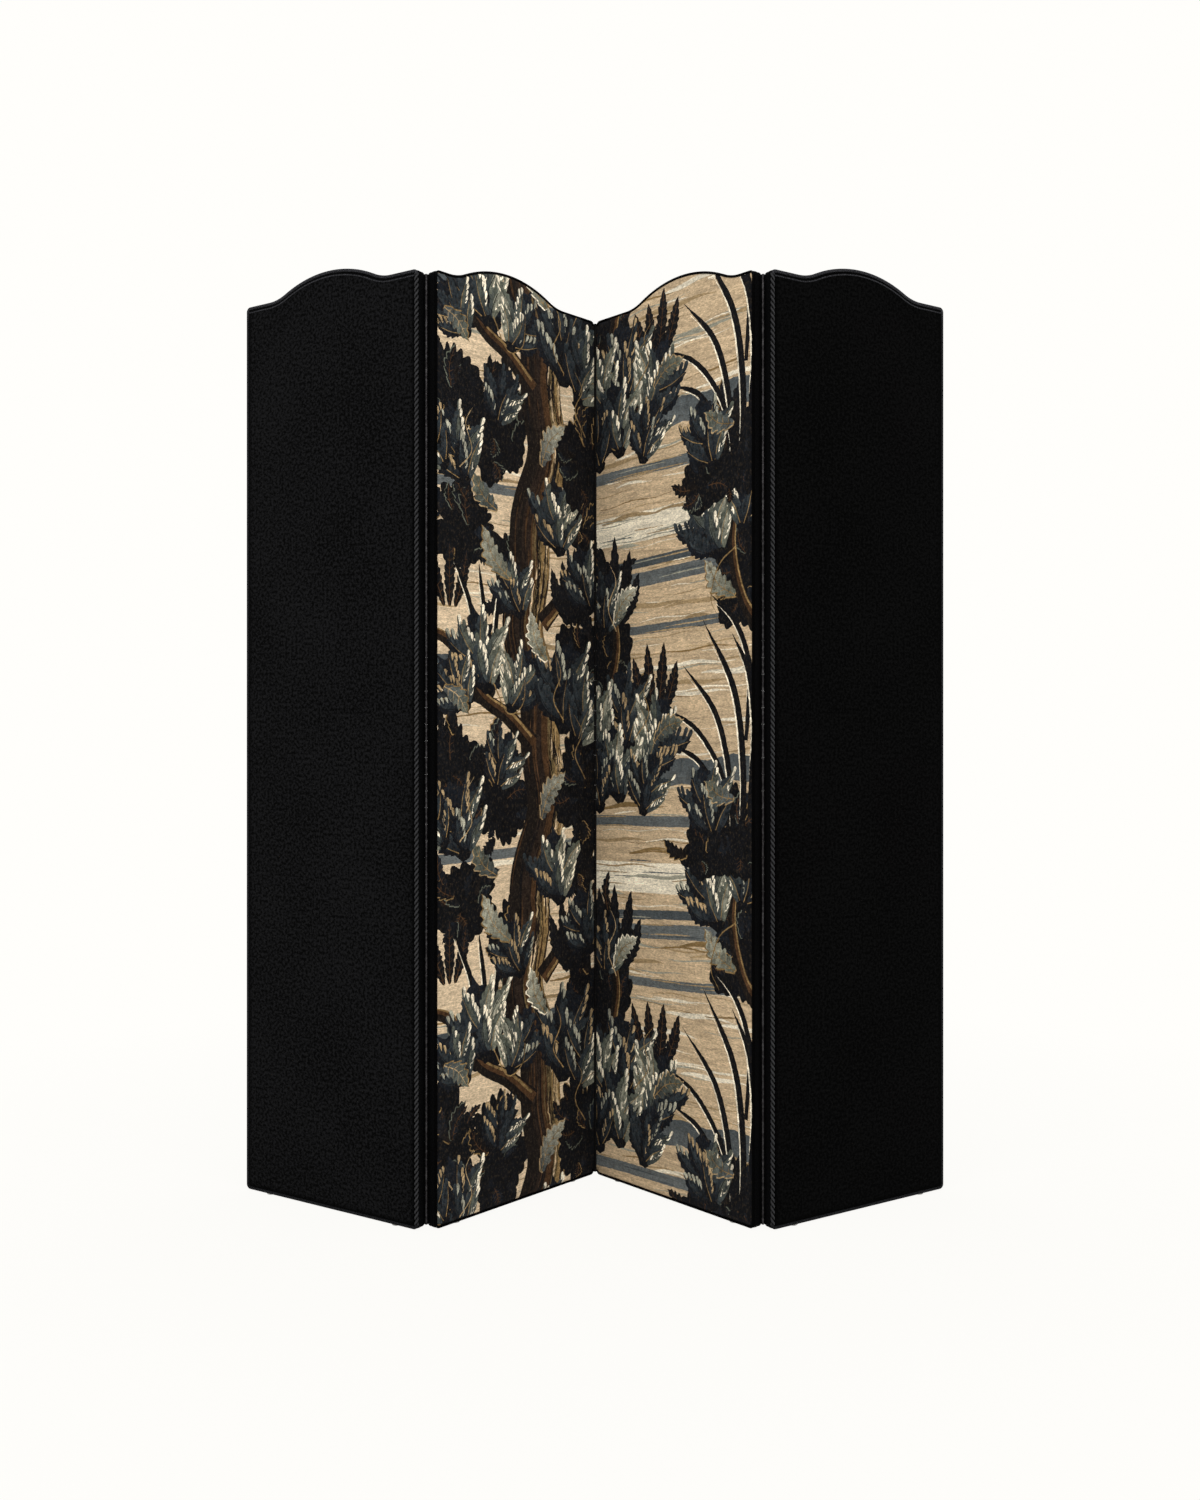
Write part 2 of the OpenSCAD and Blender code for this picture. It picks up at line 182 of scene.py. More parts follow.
def velvet(name, dark, light, marks):
    material, tree, shader = newMaterial(name)
    place = addNode(tree, "UVMap", {"uv_map": "cloth"})
    brushed = addNode(tree, "TexNoise", {},
                      {"Vector": place.outputs[0], "Scale": velvetValues["brushMarks"], "Detail": 3.0})
    pile = addNode(tree, "TexNoise", {},
                   {"Vector": place.outputs[0], "Scale": marks, "Detail": 3.0, "Roughness": 0.7})
    both = addNode(tree, "Math", {"operation": "MULTIPLY_ADD"},
                   {0: brushed.outputs["Fac"], 1: velvetValues["brushShare"], 2: pile.outputs["Fac"]})
    share = addNode(tree, "MapRange", {}, {"Value": both.outputs[0], "From Min": velvetValues["darkest"],
                                           "From Max": velvetValues["lightest"]})
    colour = addNode(tree, "Mix", {"data_type": "RGBA"},
                     {0: share.outputs[0], 6: linear(dark), 7: linear(light)})
    # painted shade: the colour is darkened where the rim attribute is high, at a cover's edge and along a
    # piping below the top
    rim = addNode(tree, "Attribute", {"attribute_name": "rim"})
    deep = addNode(tree, "MapRange", {},
                   {"Value": rim.outputs["Fac"], "To Min": 1.0, "To Max": velvetValues["seamShade"]})
    seamShaded = addNode(tree, "VectorMath", {"operation": "SCALE"},
                     {0: colour.outputs[2], "Scale": deep.outputs[0]})
    bump = addNode(tree, "Bump", {}, {"Height": pile.outputs["Fac"], "Strength": velvetValues["pileBump"],
                                      "Distance": velvetValues["pileHeight"]})
    tree.links.new(seamShaded.outputs[0], shader.inputs["Base Color"])
    tree.links.new(bump.outputs[0], shader.inputs["Normal"])
    shader.inputs["Roughness"].default_value = 0.85
    shader.inputs["Specular IOR Level"].default_value = 0.02
    shader.inputs["Sheen Weight"].default_value = 0.007
    shader.inputs["Sheen Roughness"].default_value = 0.35
    shader.inputs["Sheen Tint"].default_value = linear("#8d8d92")
    return material


# wool tapestry, woven: matt weft threads over a ribbed warp, with streaks where the weaver changed wool.
# Each pattern of its weave: marks per metre along and up the cloth, detail, roughness, its bend, and the
# share of the colour that it leaves from its darkest to its lightest
weavePatterns = {
    "streaks": (7.0, 85.0, 7.0, 0.72, 0.9, 0.66, 1.22),    # wool of another dye lot, 140 by 12 mm
    "mottle": (55.0, 130.0, 5.0, 0.75, 1.2, 0.66, 1.22),   # patches of uneven dye, 18 by 8 mm
    "thread": (150.0, 420.0, 3.0, 0.75, 0.0, 0.61, 1.26),  # threads 1.1 mm apart, drawn 2.4 mm apart to show
    "brush": (85.0, 62.0, 5.0, 0.76, 0.9, 0.26, 1.70),     # short strokes in the leaves, 12 to 16 mm
    "worn": (210.0, 130.0, 4.0, 0.7, 0.0, -0.26, 0.2),     # flecks where the tan warp shows through worn weft
}
weaveValues = {"from": 0.32, "to": 0.68, "warp": "#6f5e48", "bump": 0.35, "thick": 0.0008}


def tapestry():
    material, tree, shader = newMaterial("wool tapestry, woven")
    place = addNode(tree, "UVMap", {"uv_map": "cloth"})
    motif = addNode(tree, "VertexColor", {"layer_name": "motif"})
    heights, shares = {}, {}
    for name, (along, up, detail, roughness, bend, low, high) in weavePatterns.items():
        spread = addNode(tree, "Mapping", {}, {"Vector": place.outputs[0], "Scale": (along, up, 1.0)})
        pattern = addNode(tree, "TexNoise", {}, {"Vector": spread.outputs[0], "Scale": 1.0,
                                                 "Detail": detail, "Roughness": roughness,
                                                 "Distortion": bend})
        share = addNode(tree, "MapRange", {},
                        {"Value": pattern.outputs["Fac"], "From Min": weaveValues["from"],
                         "From Max": weaveValues["to"], "To Min": low, "To Max": high})
        heights[name], shares[name] = pattern.outputs["Fac"], share.outputs[0]
    # the plain sky is streaked and mottled, and the drawn leaves are brushed
    woven = addNode(tree, "Math", {"operation": "MULTIPLY"}, {0: shares["streaks"], 1: shares["mottle"]})
    ground = addNode(tree, "Mix", {"data_type": "FLOAT"},
                     {0: motif.outputs["Alpha"], 2: shares["brush"], 3: woven.outputs[0]})
    both = addNode(tree, "Math", {"operation": "MULTIPLY"}, {0: shares["thread"], 1: ground.outputs[0]})
    colour = addNode(tree, "VectorMath", {"operation": "SCALE"},
                     {0: motif.outputs["Color"], "Scale": both.outputs[0]})
    aged = addNode(tree, "Mix", {"data_type": "RGBA", "clamp_factor": True},
                   {0: shares["worn"], 6: colour.outputs[0], 7: linear(weaveValues["warp"])})
    bump = addNode(tree, "Bump", {}, {"Height": heights["thread"], "Strength": weaveValues["bump"],
                                      "Distance": weaveValues["thick"]})
    tree.links.new(aged.outputs[2], shader.inputs["Base Color"])
    tree.links.new(bump.outputs[0], shader.inputs["Normal"])
    shader.inputs["Roughness"].default_value = 0.9
    shader.inputs["Specular IOR Level"].default_value = 0.1
    return material


# rayon cord, twisted: satin filaments that run along each strand, drawn 0.4 mm wide so that they show. A strand
# has painted shade in the valleys where it lies against the other, and a little painted highlight on its crest;
# its radius turns metres around it into an angle
rayonValues = {"dark": "#141415", "light": "#38383a", "marks": (90.0, 2600.0, 1.0), "radius": 0.0021,
               "valleyShade": (-0.1, 0.9, 0.12, 1.1), "bump": 0.4, "thick": 0.0003}


def rayonCord():
    material, tree, shader = newMaterial("rayon cord, twisted")
    place = addNode(tree, "UVMap", {"uv_map": "cloth"})
    turned = addNode(tree, "Mapping", {}, {"Vector": place.outputs[0], "Scale": rayonValues["marks"]})
    fibre = addNode(tree, "TexNoise", {}, {"Vector": turned.outputs[0], "Scale": 1.0, "Detail": 2.0})
    dark, light = linear(rayonValues["dark"]), linear(rayonValues["light"])
    colour = addNode(tree, "Mix", {"data_type": "RGBA"}, {0: fibre.outputs["Fac"], 6: dark, 7: light})
    # painted shade in the valleys between the strands, and a little painted highlight on their crests
    around = addNode(tree, "SeparateXYZ", {}, {0: place.outputs[0]})
    turn = addNode(tree, "Math", {"operation": "DIVIDE"},
                   {0: around.outputs["Y"], 1: rayonValues["radius"]})
    outward = addNode(tree, "Math", {"operation": "COSINE"}, {0: turn.outputs[0]})
    low, high, shadeInValley, highlightOnCrest = rayonValues["valleyShade"]
    valleyShade = addNode(tree, "MapRange", {}, {"Value": outward.outputs[0], "From Min": low, "From Max": high,
                                            "To Min": shadeInValley, "To Max": highlightOnCrest})
    shaded = addNode(tree, "VectorMath", {"operation": "SCALE"},
                     {0: colour.outputs[2], "Scale": valleyShade.outputs[0]})
    bump = addNode(tree, "Bump", {}, {"Height": fibre.outputs["Fac"], "Strength": rayonValues["bump"],
                                      "Distance": rayonValues["thick"]})
    tree.links.new(shaded.outputs[0], shader.inputs["Base Color"])
    tree.links.new(bump.outputs[0], shader.inputs["Normal"])
    shader.inputs["Roughness"].default_value = 0.5
    shader.inputs["Specular IOR Level"].default_value = 0.15
    return material


# plated or oxidised steel: smooth, with worn patches 6 mm wide that are lighter and a little rougher
def metal(name, dark, light, metallic, roughness):
    material, tree, shader = newMaterial(name)
    place = addNode(tree, "TexCoord")
    wear = addNode(tree, "TexNoise", {}, {"Vector": place.outputs["Object"], "Scale": 160.0, "Detail": 4.0})
    share = addNode(tree, "MapRange", {},
                    {"Value": wear.outputs["Fac"], "From Min": 0.42, "From Max": 0.68})
    colour = addNode(tree, "Mix", {"data_type": "RGBA"},
                     {0: share.outputs[0], 6: linear(dark), 7: linear(light)})
    rough = addNode(tree, "MapRange", {},
                    {"Value": wear.outputs["Fac"], "To Min": roughness - 0.08, "To Max": roughness + 0.12})
    tree.links.new(colour.outputs[2], shader.inputs["Base Color"])
    tree.links.new(rough.outputs[0], shader.inputs["Roughness"])
    shader.inputs["Metallic"].default_value = metallic
    return material


# planed pine: growth rings cut lengthwise into lines up the batten, 17 mm apart with finer ones between
def pine():
    material, tree, shader = newMaterial("pine, planed")
    place = addNode(tree, "TexCoord")
    grain = addNode(tree, "Mapping", {}, {"Vector": place.outputs["Object"], "Scale": (60.0, 60.0, 3.0)})
    rings = addNode(tree, "TexNoise", {},
                    {"Vector": grain.outputs[0], "Scale": 1.0, "Detail": 5.0, "Distortion": 0.8})
    colour = addNode(tree, "Mix", {"data_type": "RGBA"},
                     {0: rings.outputs["Fac"], 6: linear("#d9b787"), 7: linear("#b98a55")})
    bump = addNode(tree, "Bump", {}, {"Height": rings.outputs["Fac"], "Strength": 0.15, "Distance": 0.0005})
    tree.links.new(colour.outputs[2], shader.inputs["Base Color"])
    tree.links.new(bump.outputs[0], shader.inputs["Normal"])
    shader.inputs["Roughness"].default_value = 0.65
    return material


# hardboard, pressed: brown fibres with a hard smooth skin, drawn 2.4 mm wide so that they show
def hardboard():
    material, tree, shader = newMaterial("hardboard, pressed")
    place = addNode(tree, "TexCoord")
    fibre = addNode(tree, "TexNoise", {},
                    {"Vector": place.outputs["Object"], "Scale": 420.0, "Detail": 5.0})
    colour = addNode(tree, "Mix", {"data_type": "RGBA"},
                     {0: fibre.outputs["Fac"], 6: linear("#6a4a30"), 7: linear("#8a6544")})
    tree.links.new(colour.outputs[2], shader.inputs["Base Color"])
    shader.inputs["Roughness"].default_value = 0.55
    return material


# copies of one cotton velvet in painted light and shade: the lit copy is painted lighter, the shaded copy
# darker
velvetPaintedLit = velvet("cotton velvet, painted lit", "#030303", "#181819", velvetValues["face"])
velvetPaintedShaded = velvet("cotton velvet, painted shaded", "#010101", "#0a0a0a", velvetValues["face"])
# the trim copy of the velvet is painted dark, as shade along the bands and the rear and inner pipings
velvetTrim = velvet("cotton velvet, cut on the bias, painted dark", "#030303", "#0b0b0c", velvetValues["trim"])
# the piping copy of the velvet is painted lighter, as a highlight along the front pipings and top welts of the
# outer panels
velvetPaintedHighlight = velvet("cotton velvet over piping cord, painted highlight", "#1a1a1b", "#404043", velvetValues["trim"])
tapestryWoven = tapestry()
cordTwisted = rayonCord()
finishes = {
    "hinge_leaf": metal("steel, bronzed nearly black", "#262425", "#4a4849", 0.9, 0.5),
    # the centre hinge is painted darker than the others, as the shade in the gap between the inner panels
    "centre_hinge_leaf": metal("steel, painted dark as the shade in the gap", "#0b0a0a", "#171616", 0.9, 0.6),
    "hinge_pin": metal("steel, drawn and blackened", "#1f1d1b", "#3a3733", 1.0, 0.4),
    "screws": metal("steel, black oxide", "#1c1b1a", "#4a4743", 0.9, 0.42),
    "glides": metal("steel, nickel plated", "#6d6c6a", "#b9b8b4", 1.0, 0.25),
    "stiles": pine(), "boards": hardboard(),
}
finishes["top_rail"] = finishes["cross_rails"] = finishes["stiles"]
for nodeName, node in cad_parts.items():
    for part, material in finishes.items():
        if part in nodeName:
            node.data.materials.clear()
            node.data.materials.append(material)
print("materials made")

# the camera, the floor and the light

cameraValues = {"place": (0.0099, -2.881, 0.910), "lens": 35.38, "sensor": 36, "shift": (0.0, -0.010)}
bpy.ops.object.camera_add(location=cameraValues["place"], rotation=(math.radians(90), 0, 0))
camera = bpy.context.object
camera.data.lens = cameraValues["lens"]
camera.data.sensor_width = cameraValues["sensor"]
camera.data.shift_x, camera.data.shift_y = cameraValues["shift"]
bpy.context.scene.camera = camera


# 1 where the eye, a reflection or glass looks straight at the studio, which is white there, and 0 elsewhere
def seenDirectly(tree):
    ray = addNode(tree, "LightPath")
    seen = addNode(tree, "Math", {"operation": "MAXIMUM"},
                   {0: ray.outputs["Is Camera Ray"], 1: ray.outputs["Is Glossy Ray"]})
    return addNode(tree, "Math", {"operation": "MAXIMUM"},
                   {0: seen.outputs[0], 1: ray.outputs["Is Transmission Ray"]}).outputs[0]


# near the screen a little of the floor's own light stays, for its shadow; farther off it is plain white
floorValues = {"size": 60, "colour": "#e9e8e4", "white": "#fffefb", "clean": 0.94, "near": 0.8, "far": 2.2}
bpy.ops.mesh.primitive_plane_add(size=floorValues["size"], location=(0, 0, 0))
floor = bpy.context.object
floor.name = "floor"
material, tree, shader = newMaterial("studio floor, painted")
shader.inputs["Base Color"].default_value = linear(floorValues["colour"])
shader.inputs["Roughness"].default_value = 0.9
away = addNode(tree, "VectorMath", {"operation": "LENGTH"},
               {0: addNode(tree, "TexCoord").outputs["Object"]})
clean = addNode(tree, "MapRange", {}, {"Value": away.outputs["Value"], "From Min": floorValues["near"],
                                       "From Max": floorValues["far"], "To Min": floorValues["clean"],
                                       "To Max": 1.0})
seen = addNode(tree, "Math", {"operation": "MULTIPLY"}, {0: seenDirectly(tree), 1: clean.outputs[0]})
glow = addNode(tree, "Emission", {}, {"Color": linear(floorValues["white"]), "Strength": 1.0})
mixed = addNode(tree, "MixShader", {}, {0: seen.outputs[0], 1: shader.outputs[0], 2: glow.outputs[0]})
tree.links.new(mixed.outputs[0], tree.nodes["Material Output"].inputs["Surface"])
floor.data.materials.append(material)

worldValues = {"light": "#f4f5f7", "strength": 0.62}
world = bpy.data.worlds.new("studio")
bpy.context.scene.world = world
world.use_nodes = True
tree = world.node_tree
tree.nodes["Background"].inputs["Color"].default_value = linear(worldValues["light"])
tree.nodes["Background"].inputs["Strength"].default_value = worldValues["strength"]
white = addNode(tree, "Background", {}, {"Color": linear(floorValues["white"]), "Strength": 1.0})
mixed = addNode(tree, "MixShader", {},
                {0: seenDirectly(tree), 1: tree.nodes["Background"].outputs[0], 2: white.outputs[0]})
tree.links.new(mixed.outputs[0], tree.nodes["World Output"].inputs["Surface"])

# each soft box: its place, its size and its power; all of them point at the middle of the screen
lampValues = {"key": ((-2.6, -3.2, 2.5), 2.2, 58), "fill": ((2.8, -3.4, 1.9), 2.6, 66),
              "top": ((0, 0.2, 4.2), 3.0, 40)}
lampAim = (0, 0, 0.9)
for name, (place, size, power) in lampValues.items():
    bpy.ops.object.light_add(type="AREA", location=place)
    lamp = bpy.context.object
    lamp.name = "lamp_" + name
    lamp.data.size, lamp.data.energy = size, power
    lamp.rotation_euler = (Vector(lampAim) - Vector(place)).to_track_quat("-Z", "Y").to_euler()
bpy.context.scene.view_settings.view_transform = "Standard"
print("camera, floor and lamps made")

# the drawing of the woven cloth, in millimetres: u to the right and v up, seen from the front.
# It is a made-up verdure of this screen's own, repeated up the panel.

wools = {"cream": "#fcefd4", "linen": "#ecd2ae", "tan": "#d8bd98", "sand": "#b0966f", "slate": "#6b6f6e",
         "slateDark": "#4f5557", "ink": "#0d0e11", "inkSoft": "#151619", "navy": "#171b21", "teal": "#353c3f",
         "sage": "#626558", "mist": "#a8a592", "ochre": "#8f744b", "olive": "#6b5a3c", "rust": "#4b3421",
         "bark": "#2a201a", "barkDark": "#1a1512"}
wools = {name: linear(value) for name, value in wools.items()}

# a long side is broken into stitches of 5 mm, whose ends wander more than the corners of short sides
stitchValues = {"long": 5, "wander": 0.55, "shortWander": 0.3}


# keeps the painter's list: the later a shape is painted, the higher it lies
class Drawing:
    def __init__(self, seed, repeat, ground):
        self.shapes, self.dice, self.repeat, self.ground = [], random.Random(seed), repeat, ground

    def stitched(self, points):
        made = []
        for a, b in zip(points, points[1:] + points[:1]):
            parts = max(1, round(math.dist(a, b) / stitchValues["long"]))
            far = stitchValues["wander" if parts > 1 else "shortWander"]
            for k in range(parts):
                t = k / parts
                made.append((a[0] + (b[0] - a[0]) * t + self.dice.uniform(-far, far),
                             a[1] + (b[1] - a[1]) * t + self.dice.uniform(-far, far)))
        return made

    def paint(self, points, wool, tipWool=None, axis=None, streak=0.0, vary=0.12):
        tint = 1 + self.dice.uniform(-vary, vary)
        foot = [c * tint for c in wools[wool][:3]]
        tip = [c * tint for c in wools[tipWool or wool][:3]]
        self.shapes.append((self.stitched(points), foot, tip, axis or ((0, 0), (0, 1)), streak))


# a smooth curve that passes through points
def smoothPath(points, count):
    points = [Vector(p) for p in points]
    points = [2 * points[0] - points[1]] + points + [2 * points[-1] - points[-2]]
    made = []
    for i in range(count + 1):
        t = i / count * (len(points) - 3)
        k = min(int(t), len(points) - 4)
        t -= k
        a, b, c, d = points[k:k + 4]
        made.append(0.5 * ((2 * b) + (c - a) * t + (2 * a - 5 * b + 4 * c - d) * t * t
                           + (3 * b - a - 3 * c + d) * t * t * t))
    return made


def sideways(path, k):
    run = (path[min(k + 1, len(path) - 1)] - path[max(k - 1, 0)]).normalized()
    return Vector((-run.y, run.x))


# a band of changing width along a path; widths are given at its start, middle and end
def ribbon(path, widths, shift=0.0):
    left, right = [], []
    low, mid, high = widths
    for k, point in enumerate(path):
        t = k / (len(path) - 1)
        end = low if t < 0.5 else high
        width = end + (mid - end) * math.sin(math.pi * t)
        side = sideways(path, k)
        left.append(point + side * (shift + width / 2))
        right.append(point + side * (shift - width / 2))
    return [tuple(p) for p in left + right[::-1]]


# a lobed leaf on a bent rib; the lobes of one side trail the other's, and all lean towards the tip
leafValues = {"perLobe": 4, "full": 0.75, "taper": 0.25, "trail": 0.45, "swell": 1.6, "jitter": 0.06,
              "lean": 0.45, "tip": 0.3, "rimGrown": 1.06, "rimShift": 1.4, "rib": (2.0, 1.6, 0.6),
              "vein": (1.4, 1.1, 0.4)}


def lobedLeaf(drawing, foot, tip, half, lobes, wool, tipWool, bend=0.12, notch=0.4, edge=None, veins=None):
    foot, tip = Vector(foot), Vector(tip)
    axis = tip - foot
    across = Vector((-axis.y, axis.x)).normalized()
    middle = foot + axis * 0.5 + across * axis.length * bend
    path = smoothPath([foot, middle, tip], lobes * leafValues["perLobe"])
    sides = []
    for sign in (1, -1):
        side = []
        for k in range(len(path)):
            t = k / (len(path) - 1)
            body = math.sin(math.pi * min(1, t * 0.93 + 0.04)) ** leafValues["full"]
            body *= 1 - leafValues["taper"] * t
            phase = (t * lobes + (leafValues["trail"] if sign < 0 else 0)) % 1
            lobe = 1 - notch * (1 - math.sin(math.pi * phase ** leafValues["swell"]))
            jitter = 1 + drawing.dice.uniform(-leafValues["jitter"], leafValues["jitter"])
            lean = axis.normalized() * half * body * lobe * leafValues["lean"]
            side.append(path[k] + across * sign * half * body * lobe * jitter + lean)
        sides.append(side)
    end = tip + axis.normalized() * half * leafValues["tip"]
    points = [tuple(p) for p in sides[0] + [end] + sides[1][::-1]]
    if edge:
        centre = foot + axis * 0.5
        shift = across * leafValues["rimShift"]
        grown = [tuple(centre + (Vector(p) - centre) * leafValues["rimGrown"] + shift) for p in points]
        drawing.paint(grown, edge)
    drawing.paint(points, wool, tipWool, (tuple(foot), tuple(tip)))
    if veins:
        drawing.paint(ribbon(path, leafValues["rib"]), veins)
        for k in range(3, len(path) - 2, 4):
            for side in sides:
                mid = path[k].lerp(side[min(k + 1, len(path) - 1)], 0.8)
                drawing.paint(ribbon([path[k], path[k].lerp(mid, 0.5), mid], leafValues["vein"]), veins)
    return path


# one finger of a plume, with a pale stroke along its lit edge; both in shares of its length and width
fingerValues = {"outer": ((0, 0.4), (0.4, 0.9), (0.75, 1.0), (0.93, 0.7), (1.0, 0.0), (0.93, -0.7),
                          (0.75, -1.0), (0.4, -0.9), (0, -0.4)),
                "stroke": ((0.2, 0.1), (0.5, 0.9), (0.78, 1.05), (0.96, 0.75), (1.03, 0.0), (0.92, -0.5),
                           (0.66, -0.3), (0.4, -0.1))}


def finger(drawing, foot, tip, width, wool, tipWool, stroke):
    foot, tip = Vector(foot), Vector(tip)
    run = tip - foot
    across = Vector((-run.y, run.x)).normalized() * width
    points = [tuple(foot + run * t + across * w / 2) for t, w in fingerValues["outer"]]
    drawing.paint(points, wool, tipWool, (tuple(foot), tuple(tip)))
    if stroke:
        points = [tuple(foot + run * t - across * w / 2) for t, w in fingerValues["stroke"]]
        drawing.paint(points, stroke, vary=0.2)


# a leaf with a comb of pale strokes along its lit edge, as a weaver hatches light into dark
combValues = {"lobes": 5, "teeth": 6, "bend": 0.05, "notch": 0.3, "first": 0.16, "span": 0.8, "out": 0.6,
              "thick": 0.5, "struck": 0.85, "rib": (1.8, 1.6, 0.5)}


def combLeaf(drawing, foot, tip, half, shades, stroke, lit):
    dice, axis = drawing.dice, (Vector(tip) - Vector(foot)).normalized()
    side = Vector((axis.y, -axis.x)) * lit
    path = lobedLeaf(drawing, foot, tip, half, combValues["lobes"], shades[0], shades[1],
                     bend=combValues["bend"] * lit, notch=combValues["notch"])
    drawing.paint(ribbon(path, (half * 0.3, half * 1.1, half * 0.2), -lit * half * 0.4), shades[1], shades[2],
                  (tuple(foot), tuple(tip)))
    for j in range(combValues["teeth"]):
        t = combValues["first"] + combValues["span"] * j / (combValues["teeth"] - 1)
        at = path[int(t * (len(path) - 1))] + side * half * combValues["out"] * math.sin(math.pi * t)
        aim = (axis * 0.55 + side * 0.25 + Vector((dice.uniform(-0.1, 0.1), 0.6))).normalized() * half
        end = at + aim * dice.uniform(1.0, 1.5)
        finger(drawing, at, end, half * combValues["thick"], shades[1], shades[2],
               stroke if dice.random() < combValues["struck"] else None)
    drawing.paint(ribbon(path, combValues["rib"]), "ochre" if dice.random() < 0.6 else "inkSoft")


# a crest: comb leaves that fan out over a dark body, lighter towards the light; tone shifts them all.
# Each fan starts at a share of the height, reaches another share of it, and has leaves at these angles
crestValues = {"body": 0.46, "leaf": 0.15,
               "fans": ((0.36, 0.60, (-56, 50, -20, 16)), (0.05, 0.54, (-48, 42, -2))),
               "shades": (("ink", "navy", "teal"), ("navy", "teal", "sage"), ("teal", "sage", "mist"))}


def crest(drawing, foot, size, turn, tone=0, lit=1):
    dice, foot, spin = drawing.dice, Vector(foot), Matrix.Rotation(math.radians(turn), 2)
    lobedLeaf(drawing, foot - spin @ Vector((0, size * 0.12)), foot + spin @ Vector((0, size * 1.02)),
              size * crestValues["body"], 6, "ink", "navy", bend=0.0)
    for start, long, angles in crestValues["fans"]:
        for angle in angles:
            lean = math.radians(-lit * angle + dice.uniform(-7, 7))
            aim = Matrix.Rotation(lean, 2) @ Vector((0, size * long * dice.uniform(0.9, 1.1)))
            at = Vector((-math.sin(lean) * size * 0.12, size * start))
            level = min(2, max(0, round(1 + angle / 50 + tone + dice.uniform(-0.4, 0.4))))
            stroke = "cream" if level else dice.choice(("mist", "sand", None))
            combLeaf(drawing, foot + spin @ at, foot + spin @ (at + aim), size * crestValues["leaf"],
                     crestValues["shades"][level], stroke, lit)


# a dark mass of foliage: a blot with a fingered edge, with darker and bluer leaves and thin veins in it
massValues = {"lobe": 26, "perLobe": 5, "body": 0.86, "swell": 0.10, "topSwell": 0.12, "rimShift": (1.8, 1.6)}


def mass(drawing, centre, size, leaves, edge=None):
    dice, centre = drawing.dice, Vector(centre)
    lobes = round((size[0] + size[1]) * math.pi / massValues["lobe"])
    swing = [(dice.uniform(0.06, 0.14), n, dice.uniform(0, 6.3)) for n in (2, 3, 5)]
    start, points, count = dice.uniform(0, 6.3), [], lobes * massValues["perLobe"]

    def spot(angle, reach):
        return centre + Vector((math.cos(angle) * size[0], math.sin(angle) * size[1])) * reach

    for k in range(count):
        angle = 2 * math.pi * k / count
        reach = massValues["body"] + sum(a * math.sin(n * angle + p) for a, n, p in swing)
        swell = massValues["swell"] + massValues["topSwell"] * max(0, math.sin(angle))
        reach += swell * abs(math.sin(lobes * angle / 2 + start)) ** 0.7
        points.append(tuple(spot(angle, reach)))
    if edge:
        du, dv = massValues["rimShift"]
        drawing.paint([(u + du, v + dv) for u, v in points], edge)
    drawing.paint(points, "ink", vary=0.08)
    for k in range(leaves):
        angle, radius = dice.uniform(0, 6.3), dice.uniform(0.1, 0.78)
        at = spot(angle, radius)
        aim = math.atan2(math.sin(angle) * size[1], math.cos(angle) * size[0]) + dice.uniform(-0.7, 0.7)
        long = dice.uniform(34, 62)
        tip = at + Vector((math.cos(aim), math.sin(aim) + 0.35)) * long
        half, wool = long * dice.uniform(0.26, 0.36), dice.choice(("inkSoft", "ink", "barkDark", "navy"))
        lobedLeaf(drawing, at, tip, half, 5, wool, dice.choice(("ink", "inkSoft", "navy")),
                  veins="rust" if k % 3 == 0 else None, edge=dice.choice((None, None, None, "ochre", "sage")))


# a stand of tall dark leaves with toothed edges, the outer ones shorter
spikeValues = {"shorter": 0.25, "spread": 0.16, "half": 0.13, "lobes": 8, "notch": 0.25, "bend": 0.06}


def spikes(drawing, foot, height, count, fan, veins="rust"):
    dice = drawing.dice
    for k in range(count):
        s = (k + 0.5) / count * 2 - 1
        reach = height * dice.uniform(0.75, 1.05) * (1 - spikeValues["shorter"] * s * s)
        aim = Matrix.Rotation(math.radians(-s * fan), 2) @ Vector((0, reach))
        at = Vector(foot) + Vector((s * height * spikeValues["spread"], 0))
        lobedLeaf(drawing, at, at + aim, height * spikeValues["half"], spikeValues["lobes"], "ink", "inkSoft",
                  bend=-spikeValues["bend"] * s, notch=spikeValues["notch"], veins=veins)


# a reed: a long dark blade with a pale edge
def reed(drawing, points, width):
    path = smoothPath(points, 26)
    drawing.paint(ribbon(path, (width * 0.6, width, 0.4)), "ink")
    drawing.paint(ribbon(path[4:-2], (0.3, width * 0.2, 0.3), width * 0.4), "cream")


# a tendril: a thin line that curls
def tendril(drawing, points, width, wool):
    drawing.paint(ribbon(smoothPath(points, 18), (width, width * 0.8, 0.4)), wool)


# a line across the panel that swings slowly up and down
skyValues = {"every": 20, "wave": 0.011, "swing": 2.2, "lag": 0.4, "streaks": 7, "thick": 2.6}


def waveLine(v, slope, phase, start=-30, end=480):
    count = max(3, round((end - start) / skyValues["every"]))
    along = [start + (end - start) * k / count for k in range(count + 1)]
    return [(u, v + slope * u + skyValues["swing"] * math.sin(u * skyValues["wave"] + phase)) for u in along]


# a band of cloud or water, with uneven streaks of lighter and darker wool in it
def skyBand(drawing, v, height, slope, phase, wool, streak=0.7):
    dice = drawing.dice
    top = waveLine(v + height, slope, phase + skyValues["lag"])
    drawing.paint(waveLine(v, slope, phase) + top[::-1], wool, streak=streak)
    for k in range(skyValues["streaks"]):
        start, share = dice.uniform(-30, 380), dice.uniform(-0.1, 1.05)
        low = waveLine(v + height * share, slope, phase, start, start + dice.uniform(50, 190))
        high = [(u, w + skyValues["thick"] * math.sin(math.pi * (j + 0.2) / len(low)))
                for j, (u, w) in enumerate(low)]
        wool = dice.choice(("slateDark", "mist", "slate", "sand", "slateDark"))
        drawing.paint(low + high[::-1], wool, streak=0.7)


